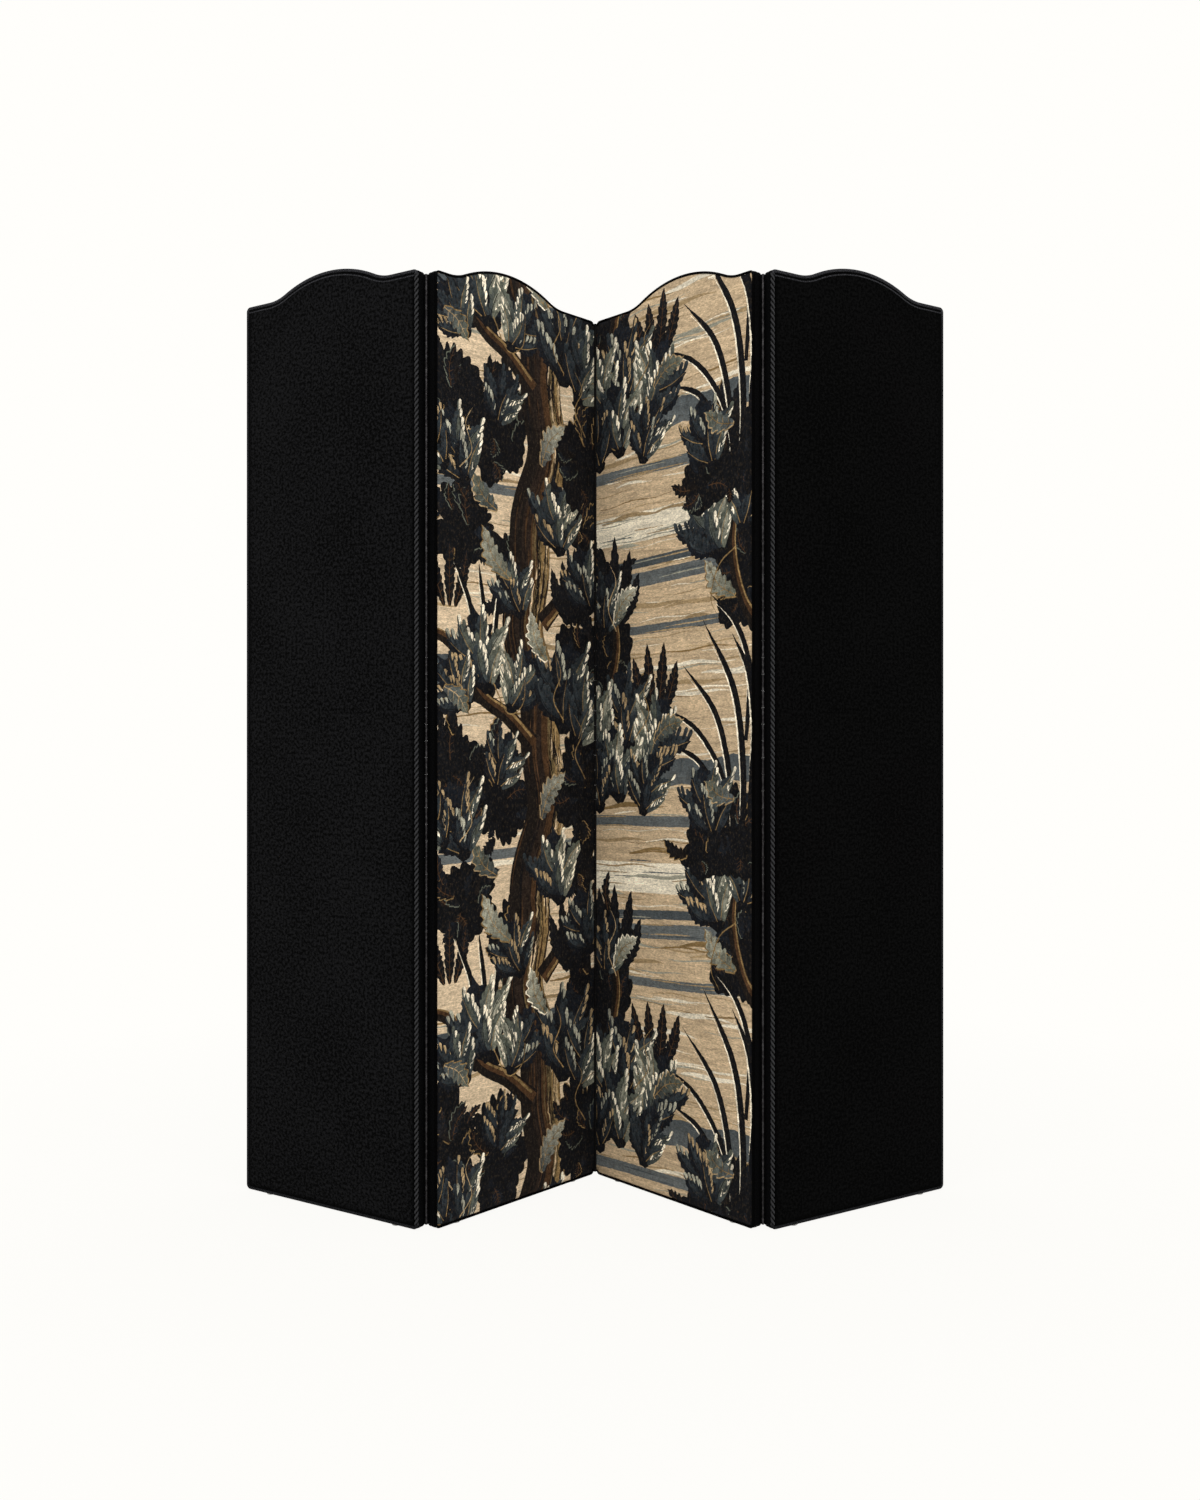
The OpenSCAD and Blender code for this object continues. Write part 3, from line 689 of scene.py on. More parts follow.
# thin uneven streaks of other wools in the sky; every fourth one is broad
def skyStreaks(drawing, v, count, slope):
    dice = drawing.dice
    for k in range(count):
        start, long = dice.uniform(-40, 400), dice.uniform(60, 320)
        at = v + dice.uniform(0, drawing.repeat) + slope * start
        height = dice.uniform(1.2, 4.0) if k % 4 else dice.uniform(5.0, 11.0)
        steps = max(4, round(long / 16))
        low, high = [], []
        for j in range(steps + 1):
            u = start + long * j / steps
            w = at + slope * long * j / steps + 2.4 * math.sin(j * 0.7 + k)
            low.append((u, w))
            high.append((u, w + height * math.sin(math.pi * min(1, 0.1 + 0.9 * j / steps)) + 0.3))
        wool = dice.choice(("cream", "cream", "sand", "mist", "sand", "ochre"))
        drawing.paint(low + high[::-1], wool, streak=0.9)


# a tree: a bark-brown trunk along a path, lit from one side, with streaks, and with cracks up the lit bark.
# Each layer of the bark: its wool, its share of the width and its shift to the lit side
trunkValues = {"width": 116, "streaks": 260, "cracks": 170,
               "layers": (("bark", 0.64, -0.12), ("rust", 0.44, -0.24), ("olive", 0.30, -0.33),
                          ("ochre", 0.20, -0.39)),
               "lit": ("olive", "ochre", "sand", "rust", "bark", "barkDark"),
               "middle": ("rust", "bark", "bark", "olive", "barkDark"),
               "shaded": ("barkDark", "bark", "barkDark", "ink", "rust"),
               "crack": ("barkDark", "bark", "ink", "sand", "barkDark", "tan")}


def trunk(drawing, path):
    dice, width = drawing.dice, trunkValues["width"]
    drawing.paint(ribbon(path, (width,) * 3), "barkDark", vary=0)
    for wool, share, shift in trunkValues["layers"]:
        drawing.paint(ribbon(path, (width * share,) * 3, width * shift), wool, vary=0)
    for k in range(trunkValues["streaks"]):
        start = dice.randrange(0, len(path) - 30)
        stretch = path[start:start + dice.randrange(6, 28)]
        shift = dice.uniform(-0.47, 0.47)
        wool = dice.choice(trunkValues["lit" if shift < -0.2 else "middle" if shift < 0.0 else "shaded"])
        drawing.paint(ribbon(stretch, (0.5, dice.uniform(1.2, 5.0), 0.5), shift * width), wool, vary=0.25)
    for k in range(trunkValues["cracks"]):
        start = dice.randrange(0, len(path) - 20)
        stretch = path[start:start + dice.randrange(5, 18)]
        stretch = [point + Vector((dice.uniform(-2.4, 2.4), 0)) for point in stretch]
        crack = ribbon(stretch, (0.5, dice.uniform(2.6, 5.6), 0.5), dice.uniform(-0.49, -0.14) * width)
        drawing.paint(crack, dice.choice(trunkValues["crack"]), vary=0.2)


def branch(drawing, points, widths):
    path = smoothPath(points, 26)
    drawing.paint(ribbon(path, widths), "barkDark")
    for wool, first, share, shift in (("rust", 0, 0.45, 0.22), ("ochre", 1, 0.14, 0.36)):
        drawing.paint(ribbon(path[first:], [w * share for w in widths], -widths[1] * shift), wool)


# the plants that stand before the rest, v above the foot of the cloth: crests, pale leaves and tendrils
def plantFront(drawing, v, crests, leaves, tendrils):
    for u, w, *values in crests:
        crest(drawing, (u, v + w), *values)
    for foot, tip, half, lobes, wool, tipWool, edge, veins in leaves:
        lobedLeaf(drawing, *raised(v, foot, tip), half, lobes, wool, tipWool, edge=edge, veins=veins)
    for *points, width, wool in tendrils:
        tendril(drawing, raised(v, *points), width, wool)


def raised(v, *points):
    return [(u, v + w) for u, w in points]


# the left cloth: an old tree among dark leaves
def drawGrove():
    drawing = Drawing(11, 700, "linen")
    bases = [base * drawing.repeat for base in range(-1, 3)]
    for v in bases:
        skyStreaks(drawing, v, 60, 0.03)
        for low, height, wool in ((300, 26, "slate"), (340, 17, "slateDark"), (668, 20, "slate")):
            skyBand(drawing, v + low, height, 0.03, low, wool)
    for v in bases:
        for u, w, size, leaves in ((74, 594, (98, 74), 14), (34, 140, (74, 110), 14),
                                   (168, 96, (76, 112), 13), (206, 500, (62, 96), 10),
                                   (110, 318, (64, 52), 6)):
            mass(drawing, (u, v + w), size, leaves)
    tree = [(268 + 30 * math.sin(v / 700 * 2 * math.pi + 0.5) + 9 * math.sin(v / 700 * 6 * math.pi), v)
            for v in range(-140, 2000, 35)]
    trunk(drawing, smoothPath(tree, 300))
    for v in bases:
        branch(drawing, raised(v, (262, 190), (190, 246), (116, 286), (44, 376), (-20, 402)), (44, 30, 14))
        branch(drawing, raised(v, (288, 430), (345, 486), (392, 560), (470, 606)), (42, 32, 16))
        mass(drawing, (424, v + 90), (86, 136), 18, "ochre")
        mass(drawing, (418, v + 336), (76, 118), 15)
        mass(drawing, (398, v + 640), (66, 64), 9)
        spikes(drawing, (34, v + 448), 130, 3, 24)
        spikes(drawing, (386, v + 430), 160, 5, 30, veins=None)
        for u, low, lean in ((128, 20, -18), (152, 6, 22), (100, 30, -58)):
            reed(drawing, raised(v + low, (u, 340), (u + lean * 0.2, 420), (u + lean, 520)), 14)
        plantFront(drawing, v, (
            (132, 300, 140, 14), (198, 262, 118, -26, 0, -1), (78, 262, 104, 38, -1), (350, 226, 164, -8, -1),
            (396, 196, 138, -30), (72, -14, 132, 16, -1), (22, 10, 104, 44, 0, -1), (340, 580, 132, 8),
            (226, 446, 108, 24, -1), (438, 470, 120, 18, -1), (160, 110, 104, -20, -1),
        ), (
            ((196, 512), (126, 600), 29, 6, "sage", "mist", "ochre", "ochre"),
            ((286, 44), (352, 128), 28, 6, "teal", "mist", "sand", "ochre"),
            ((300, 356), (258, 446), 25, 6, "sage", "mist", "cream", "ochre"),
            ((20, 300), (78, 254), 24, 5, "slateDark", "sage", "ochre", "sand"),
            ((160, 640), (100, 700), 25, 5, "teal", "sage", "sand", "ochre"),
        ), (
            ((150, 310), (190, 252), (232, 270), (240, 330), 3.0, "ochre"),
            ((352, 240), (322, 282), (344, 330), (330, 370), 2.8, "ochre"),
            ((60, 10), (92, 46), (76, 96), (100, 134), 2.6, "sand"),
            ((420, 120), (388, 170), (410, 214), (386, 250), 2.8, "ochre"),
        ))
    return drawing


# the right cloth: a bank of reeds and leaves under a wide sky
def drawMeadow():
    drawing = Drawing(23, 700, "tan")
    bases = [base * drawing.repeat for base in range(-1, 3)]
    for v in bases:
        skyBand(drawing, v + 590, 60, 0.05, 2, "cream", 0.9)
        skyStreaks(drawing, v, 110, 0.05)
        for low, height, wool in ((500, 28, "slate"), (538, 17, "slateDark"), (404, 18, "slate"),
                                  (20, 22, "slate")):
            skyBand(drawing, v + low, height, 0.05, low, wool)
        water = raised(v, (150, 96), (260, 116), (330, 108), (400, 126), (480, 120), (480, 168), (400, 176),
                       (330, 162), (260, 166), (165, 150))
        drawing.paint(water, "slate", "slateDark", ((0, v + 95), (0, v + 180)), 0.5)
    for v in bases:
        for u, w, size, leaves in ((20, 344, (86, 140), 18), (128, 220, (100, 92), 14),
                                   (428, 516, (86, 120), 17), (400, 30, (80, 92), 14),
                                   (318, -16, (66, 52), 8), (30, 520, (48, 58), 6)):
            mass(drawing, (u, v + w), size, leaves)
        branch(drawing, raised(v, (470, 400), (420, 470), (396, 560), (402, 640)), (34, 24, 10))
        branch(drawing, raised(v, (-20, 250), (40, 300), (66, 380), (58, 450)), (38, 26, 10))
        for *points, width in (((398, -20), (392, 110), (352, 250), (262, 346), 17),
                               ((418, -20), (424, 140), (398, 300), (318, 430), 19),
                               ((380, 0), (356, 90), (306, 160), (232, 190), 15),
                               ((432, 200), (440, 330), (404, 420), (340, 476), 15),
                               ((410, 0), (372, 130), (300, 220), (214, 262), 14),
                               ((440, 60), (450, 220), (436, 330), (396, 400), 16)):
            reed(drawing, raised(v, *points), width)
        spikes(drawing, (184, v + 246), 150, 4, 30)
        spikes(drawing, (60, v + 430), 170, 5, 34, veins=None)
        plantFront(drawing, v, (
            (96, 190, 146, 8, -1), (156, 146, 140, -24, 0, -1), (32, 176, 130, 30), (76, 84, 136, 10),
            (14, 60, 118, 24, -1, -1), (146, 60, 112, -18, -1), (360, 552, 132, 26),
            (424, 596, 112, -12, -1, -1), (344, 22, 124, 14, -1), (28, 424, 112, -10, -1),
        ), (
            ((404, 470), (330, 536), 28, 6, "sage", "mist", "ochre", "ochre"),
            ((180, 196), (258, 236), 25, 6, "teal", "sage", "sand", "ochre"),
            ((60, 440), (124, 500), 25, 6, "sage", "mist", "cream", "ochre"),
            ((400, 90), (330, 120), 24, 5, "slateDark", "sage", "sand", "ochre"),
        ), (
            ((404, 560), (362, 530), (340, 470), (362, 430), 3.0, "ochre"),
            ((120, 200), (164, 250), (150, 300), (182, 336), 2.6, "ochre"),
            ((66, 420), (40, 470), (64, 520), (44, 560), 2.8, "sand"),
        ))
    return drawing


# the covers: a padded face that rolls down to the piping and is tucked under the band

# lengths in metres, but cell and clearTop in millimetres, and crease in degrees; ripples are waves in a metre
coverValues = {"inset": 0.006, "thinInset": 0.0046, "tuck": 0.008, "thinTuck": 0.0045, "cloth": 0.001,
               "back": 0.00195, "rollDepth": 0.0032, "rollWidth": 0.008, "crown": 0.0007, "crownRun": 0.13,
               "flatTo": 0.014, "backFlatTo": 0.024, "seamRun": 0.05, "ripple": 0.00014, "ripples": 26,
               "rippleFrom": 0.007, "rippleRun": 0.012, "rippleFade": 0.05, "rim": 0.012, "crease": 50,
               "step": 0.010, "grid": 0.024, "clear": 0.06, "clearTop": 50, "edgeStep": 0.0015, "cell": 0.5,
               "rings": (0.0050, 0.0062, 0.0066, 0.0073, 0.0083, 0.0097, 0.0115, 0.014, 0.020, 0.032, 0.055)}


# finds the nearest point of a panel's edge; at a seam the edge beside it is left out
def edgeTree(number, seam):
    points = outline(number, 0, coverValues["edgeStep"], not seam)
    tree = kdtree.KDTree(len(points))
    for k, (x, z) in enumerate(points):
        tree.insert((x, z, 0), k)
    tree.balance()
    return tree


edgeTrees = {(inner, seam): edgeTree(2 if inner else 1, seam)
             for inner, seam in ((True, True), (True, False), (False, False))}


def ease(t):
    t = max(0.0, min(1.0, t))
    return t * t * (3 - 2 * t)


# depth of the face at a point; a seam edge stays level with the strip beside it
def faceDepth(x, z, tree, inset, seam, flatTo):
    distance = tree.find((x, z, 0))[2]
    t = max(0.0, min(1.0, (distance - inset) / coverValues["rollWidth"]))
    roll = coverValues["rollDepth"] * (1 - math.sqrt(max(0.0, 1 - (1 - t) ** 2)))
    crown = coverValues["crown"] * ease((distance - flatTo) / coverValues["crownRun"])
    fade = ease((distance - coverValues["rippleFrom"]) / coverValues["rippleRun"])
    fade *= math.exp(-distance / coverValues["rippleFade"])
    place = Vector((x * coverValues["ripples"], z * coverValues["ripples"], 3.7))
    ripple = coverValues["ripple"] * noise.noise(place) * fade
    if seam:
        near = ease((panel["width"] - coverValues["inset"] - x) / coverValues["seamRun"])
        crown, ripple = crown * near, ripple * near
    return roll - crown + ripple


# marks the cells of a grid whose middles lie inside a loop
def fillCells(cells, size, loop, mark):
    loop = np.array(loop)
    low, high = (loop.min(axis=0) / size).astype(int), (loop.max(axis=0) / size).astype(int) + 1
    (left, bottom), (right, top) = np.maximum(low, 0), np.minimum(high, (cells.shape[1], cells.shape[0]))
    if right <= left or top <= bottom:
        return
    y = (np.arange(bottom, top) + 0.5) * size
    ends = np.roll(loop, -1, axis=0)
    up = (loop[:, 1] <= y[:, None]) & (ends[:, 1] > y[:, None])
    down = (loop[:, 1] > y[:, None]) & (ends[:, 1] <= y[:, None])
    rows, sides = np.nonzero(up | down)
    a, b = loop[sides], ends[sides]
    x = a[:, 0] + (y[rows] - a[:, 1]) / (b[:, 1] - a[:, 1]) * (b[:, 0] - a[:, 0])
    columns = np.clip(np.ceil(x / size - 0.5).astype(int) - left, 0, right - left)
    turns = np.zeros((top - bottom, right - left + 1), int)
    np.add.at(turns, (rows, columns), np.where(up[rows, sides], 1, -1))
    cells[bottom:top, left:right][np.cumsum(turns, axis=1)[:, :-1] != 0] = mark


# says which of many places lie within a loop
def withinLoop(places, loop):
    within = np.zeros(len(places), bool)
    for (x0, y0), (x1, y1) in zip(loop, loop[1:] + loop[:1]):
        if y0 != y1:
            passed = (y0 > places[:, 1]) != (y1 > places[:, 1])
            within ^= passed & (places[:, 0] < x0 + (places[:, 1] - y0) * (x1 - x0) / (y1 - y0))
    return within


# says which sides of a loop show: its own shape lies on top just beside them
def shownSides(cells, size, loop, mark):
    start, end = np.array(loop), np.roll(np.array(loop), -1, axis=0)
    run = end - start
    beside = run[:, ::-1] * (-1, 1) / np.maximum(np.linalg.norm(run, axis=1), 0.001)[:, None] * size * 0.8
    shown = np.zeros(len(loop), bool)
    for share in (0.1, 0.5, 0.9):
        for sign in (-1, 1):
            at = ((start + run * share + beside * sign) / size).astype(int)
            at = np.clip(at, 0, (cells.shape[1] - 1, cells.shape[0] - 1))
            shown |= cells[at[:, 1], at[:, 0]] == mark
    return shown


# cuts a face into triangles along the lines of its drawing, and says which shape lies on top of each
def weave(points, edges, loops, border):
    size = coverValues["cell"]
    columns, rows = (np.max(border, axis=0) / size).astype(int) + 2
    cells = np.zeros((rows, columns), int)
    for k, loop in enumerate(loops, 1):
        fillCells(cells, size, loop, k)
    for k, loop in enumerate(loops, 1):
        placed = {}
        for side in np.flatnonzero(shownSides(cells, size, loop, k)):
            for corner in (side, (side + 1) % len(loop)):
                if corner not in placed:
                    placed[corner] = len(points)
                    points.append(loop[corner])
            edges.append((placed[side], placed[(side + 1) % len(loop)]))
    made, _, triangles, _, _, _ = delaunay_2d_cdt([Vector(p) for p in points], edges, [], 0, 0.01)
    made, triangles = np.array([(p.x, p.y) for p in made]), np.array(triangles)
    centres = made[triangles].mean(axis=1)
    within = withinLoop(centres, border)
    at = np.clip((centres[within] / size).astype(int), 0, (columns - 1, rows - 1))
    return made, triangles[within], cells[at[:, 1], at[:, 0]]


# makes the mesh of a woven or plain face, with its cloth map in metres and its drawing's colours
def clothMesh(made, triangles, top, shapes, ground, place, mapped, drawn):
    used, triangles = np.unique(triangles, return_inverse=True)
    triangles = triangles.reshape(-1, 3)
    made = made[used]
    mesh = bpy.data.meshes.new("cloth")
    mesh.from_pydata([place(x / 1000, z / 1000) for x, z in made], [], triangles.tolist())
    corners = triangles.ravel()
    uv = mapped(made[corners] / 1000).astype(np.float32)
    mesh.uv_layers.new(name="cloth").data.foreach_set("uv", uv.ravel())
    if shapes is not None:
        bare = ((), wools[ground][:3], wools[ground][:3], ((0, 0), (0, 1)), 1.0)
        rows = [bare] + shapes
        owner = np.repeat(top, 3)
        foot, tip = (np.array([row[k] for row in rows])[owner] for k in (1, 2))
        start, end = (np.array([row[3][k] for row in rows], float)[owner] for k in (0, 1))
        streak = np.array([row[4] for row in rows])[owner]
        run = end - start
        t = ((drawn(made[corners]) - start) * run).sum(axis=1) / (run * run).sum(axis=1)
        t = np.clip(t, 0, 1)[:, None]
        colour = np.hstack([foot + (tip - foot) * t, streak[:, None]]).astype(np.float32)
        mesh.attributes.new("motif", "FLOAT_COLOR", "CORNER").data.foreach_set("color", colour.ravel())
    bm = bmesh.new()
    bm.from_mesh(mesh)
    bpy.data.meshes.remove(mesh)
    return bm


# closes an open pad across its back
def closeBehind(bm):
    bmesh.ops.contextual_create(bm, geom=[e for e in bm.edges if e.is_boundary])
    bmesh.ops.triangulate(bm, faces=[f for f in bm.faces if len(f.verts) > 4])


# the shapes of a drawing that reach into a box, with their lines in the cloth's own millimetres
def shapesWithin(drawing, width, height, toCloth):
    shapes, loops = [], []
    for shape in drawing.shapes if drawing else ():
        loop = [toCloth(u, v) for u, v in shape[0]]
        us, vs = [p[0] for p in loop], [p[1] for p in loop]
        if max(us) > 0 and min(us) < width and max(vs) > 0 and min(vs) < height:
            shapes.append(shape)
            loops.append(loop)
    # what later shapes hide altogether isn't woven
    cells = np.zeros((int(height), int(width)), int)
    for k, loop in enumerate(loops, 1):
        fillCells(cells, 1.0, loop, k)
    shown = [k - 1 for k in np.unique(cells) if k]
    print(len(shown), "of", len(loops), "shapes show")
    return [shapes[k] for k in shown], [loops[k] for k in shown]


# the cloth over a face, as one closed pad; a drawing is woven in where there is one
def makeCover(name, number, back, drawing=None):
    inner = number in (2, 3)
    seam = inner and not back
    step, flatTo = coverValues["step"], coverValues["backFlatTo" if back else "flatTo"]
    inset, tuck = coverValues["thinInset" if seam else "inset"], coverValues["thinTuck" if seam else "tuck"]
    edgeOf, edgeAll = edgeTrees[inner, seam], edgeTrees[inner, False]
    points, edges = [], []
    for ring in (inset, *coverValues["rings"]):
        closed = ring == inset or not seam
        start = len(points)
        points.extend((x * 1000, z * 1000) for x, z in outline(number, ring, step, closed))
        edges.extend((k, k + 1) for k in range(start, len(points) - 1))
        if closed:
            edges.append((len(points) - 1, start))
    grid, width = coverValues["grid"] * 1000, panel["width"] * 1000
    top = (panel["shoulder"] + panel["humpRise"]) * 1000
    for i in range(int(width / grid)):
        for j in range(int(top / grid)):
            x, z = grid * (i + 0.5 + 0.25 * (j % 2)), grid * (j + 0.6)
            distance = edgeAll.find((x / 1000, z / 1000, 0))[2]
            if distance > coverValues["clear"] and z < top - coverValues["clearTop"]:
                points.append((x, z))

    # panel 3 is built as the mirror image of panel 2, so its drawing is mirrored once more
    def toCloth(u, v):
        return (width - u, v) if number == 3 else (u, v)

    def drawn(cloth):
        return cloth * (-1, 1) + (width, 0) if number == 3 else cloth

    shapes, loops = shapesWithin(drawing, width, top, toCloth)
    border = [(x * 1000, z * 1000) for x, z in outline(number, inset, step)]
    made, triangles, painted = weave(points, edges, loops, border)

    def place(x, z):
        return x, faceDepth(x, z, edgeOf, inset, seam, flatTo), z

    bm = clothMesh(made, triangles, painted, shapes if drawing else None, drawing and drawing.ground,
                   place, lambda cloth: cloth, drawn)
    if not drawing:
        # painted shade near the edge: rim runs from 1 at the inset to 0 over the rim width of coverValues, and
        # the velvet is painted darker with it
        rim = bm.verts.layers.float.new("rim")
        for v in bm.verts:
            v[rim] = 1 - ease((edgeOf.find((v.co.x, v.co.z, 0))[2] - inset) / coverValues["rim"])
    # the turned-in edge: down beside the frame, in by a cloth's thickness and back up
    for depth, inward in ((tuck, 0), (tuck, coverValues["cloth"]), (coverValues["back"], 0)):
        rim = [e for e in bm.edges if e.is_boundary]
        extruded = bmesh.ops.extrude_edge_only(bm, edges=rim)
        for v in (g for g in extruded["geom"] if isinstance(g, bmesh.types.BMVert)):
            near = edgeAll.find((v.co.x, v.co.z, 0))[0]
            shift = Vector((v.co.x - near.x, 0, v.co.z - near.y)).normalized() * inward
            v.co = (v.co.x + shift.x, depth, v.co.z + shift.z)
    closeBehind(bm)
    if back:
        bm.transform(Matrix.Translation((0, panel["thick"], 0)) @ Matrix.Diagonal((1, -1, 1, 1)))
    bmesh.ops.recalc_face_normals(bm, faces=bm.faces)
    if bm.calc_volume(signed=True) < 0:
        bmesh.ops.reverse_faces(bm, faces=bm.faces)
    for e in bm.edges:
        e.smooth = len(e.link_faces) == 2 and e.calc_face_angle() < math.radians(coverValues["crease"])
    print(name, len(bm.verts), "points,", len(bm.faces), "faces")
    # painted light and shade: the face of panel 1 and the backs take the lit copy, the face of panel 4 the
    # shaded copy
    litOrShaded = velvetPaintedLit if back or number == 1 else velvetPaintedShaded
    piece = finishPiece(name, bm, number, tapestryWoven if drawing else litOrShaded)
    return piece


cloths = {2: drawGrove(), 3: drawMeadow()}
for number in (1, 2, 3, 4):
    cover = makeCover(f"panel_{number}_face_pad", number, False, cloths.get(number))
    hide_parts(f"panel_{number}_front_cover", f"panel_{number}_wadding")
    cover = makeCover(f"panel_{number}_back_pad", number, True)
    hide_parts(f"panel_{number}_back_cover")
print("covers made")

# the band round the edge, padded, with two rows of stitching: its section in mm, as insets from the edge
# and depths behind the face

bandValues = {"front": ((6.0, 6.05), (1.3, 6.05), (0.5, 6.5)),
              "thinFront": ((6.0, 4.65), (1.3, 4.65), (0.5, 5.2)),
              "profile": ((0.1, 7.6), (0.05, 8.7), (0.35, 9.0), (0.05, 9.3), (-0.15, 10.6), (-0.2, 12.0),
                          (-0.15, 13.4), (0.05, 14.7), (0.35, 15.0), (0.05, 15.3), (0.1, 16.4), (0.5, 17.5),
                          (1.3, 17.95), (6.0, 17.95)), "step": 0.03}


# skins lines that run side by side along a piece
def skinLines(lines, closedPath):
    return skin([list(ring) for ring in zip(*lines)], closedPath)


def makeBand(number):
    seam = number in (2, 3)
    profile = bandValues["thinFront" if seam else "front"] + bandValues["profile"]
    lines = [[(x, y / 1000, z) for x, z in outline(number, inset / 1000, bandValues["step"], not seam)]
             for inset, y in profile]
    piece = finishPiece(f"panel_{number}_velvet_band", skinLines(lines, not seam), number, velvetTrim)
    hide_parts(f"panel_{number}_edge_band")


# a round tube about a line that runs inset inside the edge and at a depth behind the face
def tube(lineAt, inset, depth, radius, sides, closedPath):
    lines = []
    for j in range(sides):
        angle = 2 * math.pi * j / sides
        y = depth + radius * math.sin(angle)
        lines.append([(x, y, z) for x, z in lineAt(inset + radius * math.cos(angle))])
    return skinLines(lines, closedPath)


# piping: a velvet-covered cord along a corner of the edge; it has painted shade everywhere but along the top
pipingValues = {"radius": 0.00295, "centre": 0.003, "thinRadius": 0.00225, "thinCentre": 0.0023, "sides": 12,
                "step": 0.02, "shade": 0.65, "shadeBelow": 0.02}


def makePiping(number, back):
    inner = number in (2, 3)
    thin, closedPath = inner and not back, back and not inner
    radius = pipingValues["thinRadius" if thin else "radius"]
    centre = pipingValues["thinCentre" if thin else "centre"]
    bm = tube(lambda inset: outline(number, inset, pipingValues["step"], closedPath), centre,
              panel["thick"] - centre if back else centre, radius, pipingValues["sides"], closedPath)
    # painted shade on the piping wherever it runs below the top
    rim = bm.verts.layers.float.new("rim")
    for v in bm.verts:
        v[rim] = pipingValues["shade"] if v.co.z < panel["shoulder"] - pipingValues["shadeBelow"] else 0.0
    name = f"panel_{number}_rear_piping" if back else f"panel_{number}_face_piping"
    piece = finishPiece(name, bm, number, velvetTrim if thin or back else velvetPaintedHighlight)
    if back or inner:
        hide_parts(f"panel_{number}_back_piping" if back else f"panel_{number}_front_piping")


# the welt sewn across an outer panel under its top edge, from the side piping to the cord; it takes the
# points of the outline from the first to the last, which lie along the top
weltValues = {"inset": 0.0121, "radius": 0.0014, "depth": 0.0006, "left": 0.0055, "right": 0.443, "sides": 10,
              "first": 7, "last": 62}


def makeTopWelt(number):
    def lineAt(inset):
        line = outline(number, inset)[weltValues["first"]:weltValues["last"]]
        return [(weltValues["right"], line[0][1])] + line[1:-1] + [(weltValues["left"], line[-1][1])]

    bm = tube(lineAt, weltValues["inset"], weltValues["depth"], weltValues["radius"], weltValues["sides"],
              False)
    piece = finishPiece(f"panel_{number}_top_welt", bm, number, velvetPaintedHighlight)


# the twisted cord up the hinge side of an outer panel: two strands laid round each other

cordValues = {"strand": 0.00215, "orbit": 0.0020, "lay": 0.021, "inset": 0.0038, "depth": 0.0034,
              "low": 0.011, "high": 1.7565, "sides": 8, "turnPoints": 14}


def makeTwistedCord(number):
    x, y = panel["width"] - cordValues["inset"], cordValues["depth"]
    low, high = cordValues["low"], cordValues["high"]
    count = round((high - low) / cordValues["lay"] * cordValues["turnPoints"])
    pitch = math.atan2(2 * math.pi * cordValues["orbit"], cordValues["lay"])
    around = [2 * math.pi * j / cordValues["sides"] for j in range(cordValues["sides"])]
    whole = bmesh.new()
    whole.loops.layers.uv.new("cloth")
    for strand in (0, math.pi):
        rings = []
        for k in range(count + 1):
            z = low + (high - low) * k / count
            angle = strand + 2 * math.pi * (z - low) / cordValues["lay"]
            out = Vector((math.cos(angle), math.sin(angle), 0))
            run = Vector((-math.sin(angle) * math.sin(pitch), math.cos(angle) * math.sin(pitch),
                          math.cos(pitch)))
            side = run.cross(out)
            centre = Vector((x, y, z)) + out * cordValues["orbit"]
            rings.append([centre + cordValues["strand"] * (out * math.cos(a) + side * math.sin(a))
                          for a in around])
        bm = skin(rings, False)
        scratch = bpy.data.meshes.new("strand")
        bm.to_mesh(scratch)
        bm.free()
        whole.from_mesh(scratch)
        bpy.data.meshes.remove(scratch)
    piece = finishPiece(f"panel_{number}_twisted_cord", whole, number, cordTwisted)
    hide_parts(f"panel_{number}_front_cord")


# the seam strip: the woven cloth carried round the edge of an inner panel, with a flap on its face and back

stripValues = {"radius": 0.003, "flap": 0.003, "bends": 5, "low": 0.0125, "high": 1.755}


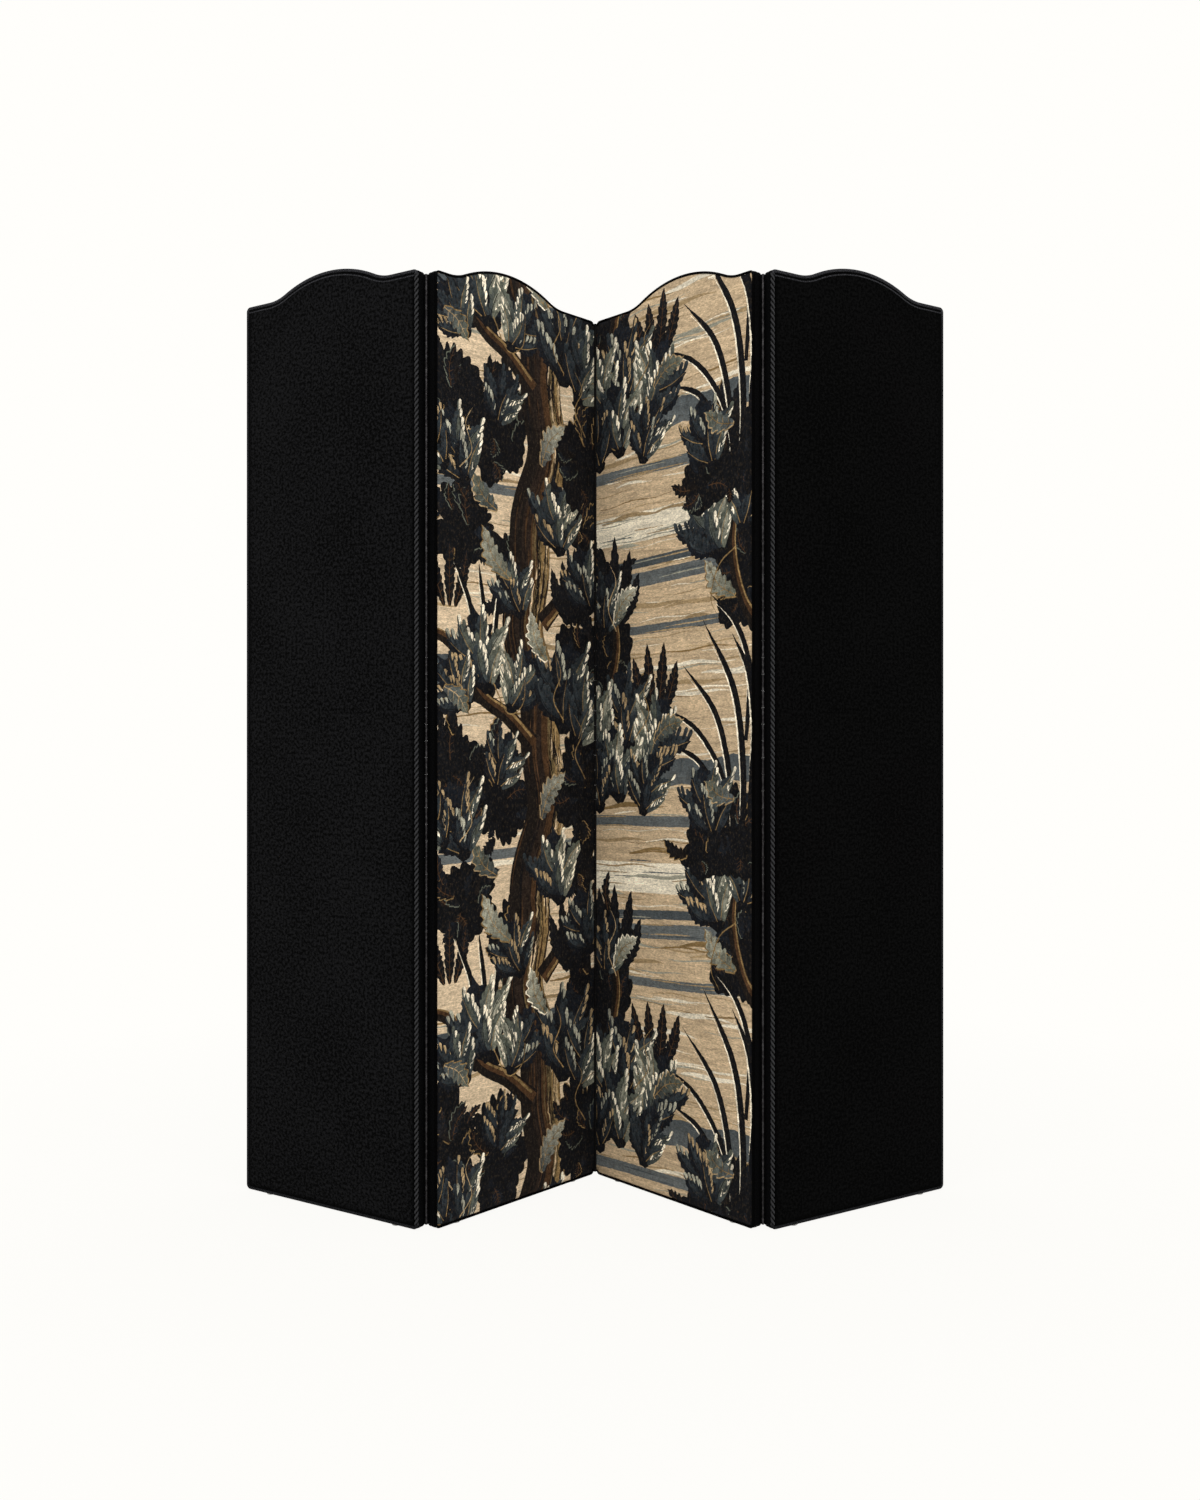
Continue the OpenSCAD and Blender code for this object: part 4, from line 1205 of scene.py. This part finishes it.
def makeSeamStrip(number, drawing):
    width, thick, radius, flap = panel["width"], panel["thick"], stripValues["radius"], stripValues["flap"]
    low, high, bends = stripValues["low"] * 1000, stripValues["high"] * 1000, stripValues["bends"]
    quarter = math.pi / 2 * radius
    # distances along the cloth: the flap, the front corner, the edge, the back corner and the other flap
    stops = [0, flap] + [flap + quarter * k / bends for k in range(1, bends + 1)]
    flat = stops[-1] + thick - 2 * radius
    stops += [flat] + [flat + quarter * k / bends for k in range(1, bends + 1)]
    stops.append(stops[-1] + flap)
    turned, turnedBack = stops[bends + 1], stops[-2]

    def bent(s):
        if s <= flap:
            return width - (flap + radius) + s, 0.0
        if s <= turned:
            a = (s - flap) / radius
            return width - radius + radius * math.sin(a), radius - radius * math.cos(a)
        if s <= flat:
            return width, radius + s - turned
        if s <= turnedBack:
            a = (s - flat) / radius
            return width - radius + radius * math.cos(a), thick - radius + radius * math.sin(a)
        return width - radius - (s - turnedBack), thick

    hem, end = (flap + radius) * 1000, stops[-1] * 1000
    edge = width * 1000 - hem
    border = [(0, low), (end, low), (end, high), (0, high)]
    points, edges = list(border), [(0, 1), (1, 2), (2, 3), (3, 0)]
    for s in stops[1:-1]:
        points += [(s * 1000, low), (s * 1000, high)]
        edges.append((len(points) - 2, len(points) - 1))

    def toCloth(u, v):
        return (hem - u, v) if number == 3 else (u - edge, v)

    def drawn(cloth):
        return cloth * (-1, 1) + (hem, 0) if number == 3 else cloth + (edge, 0)

    shapes, loops = shapesWithin(drawing, end, high, toCloth)
    made, triangles, painted = weave(points, edges, loops, border)
    bm = clothMesh(made, triangles, painted, shapes, drawing.ground,
                   lambda x, z: (*bent(max(0.0, min(stops[-1], x))), z),
                   lambda cloth: cloth + (edge / 1000, 0), drawn)
    closeBehind(bm)
    bmesh.ops.recalc_face_normals(bm, faces=bm.faces)
    piece = finishPiece(f"panel_{number}_cloth_edge", bm, number, tapestryWoven)
    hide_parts(f"panel_{number}_seam_strip")


for number in (1, 2, 3, 4):
    makeBand(number)
    makePiping(number, False)
    if number in cloths:
        makeSeamStrip(number, cloths[number])
    else:
        makeTwistedCord(number)
        makeTopWelt(number)
    makePiping(number, True)
print("trim made")

print("all pieces made")
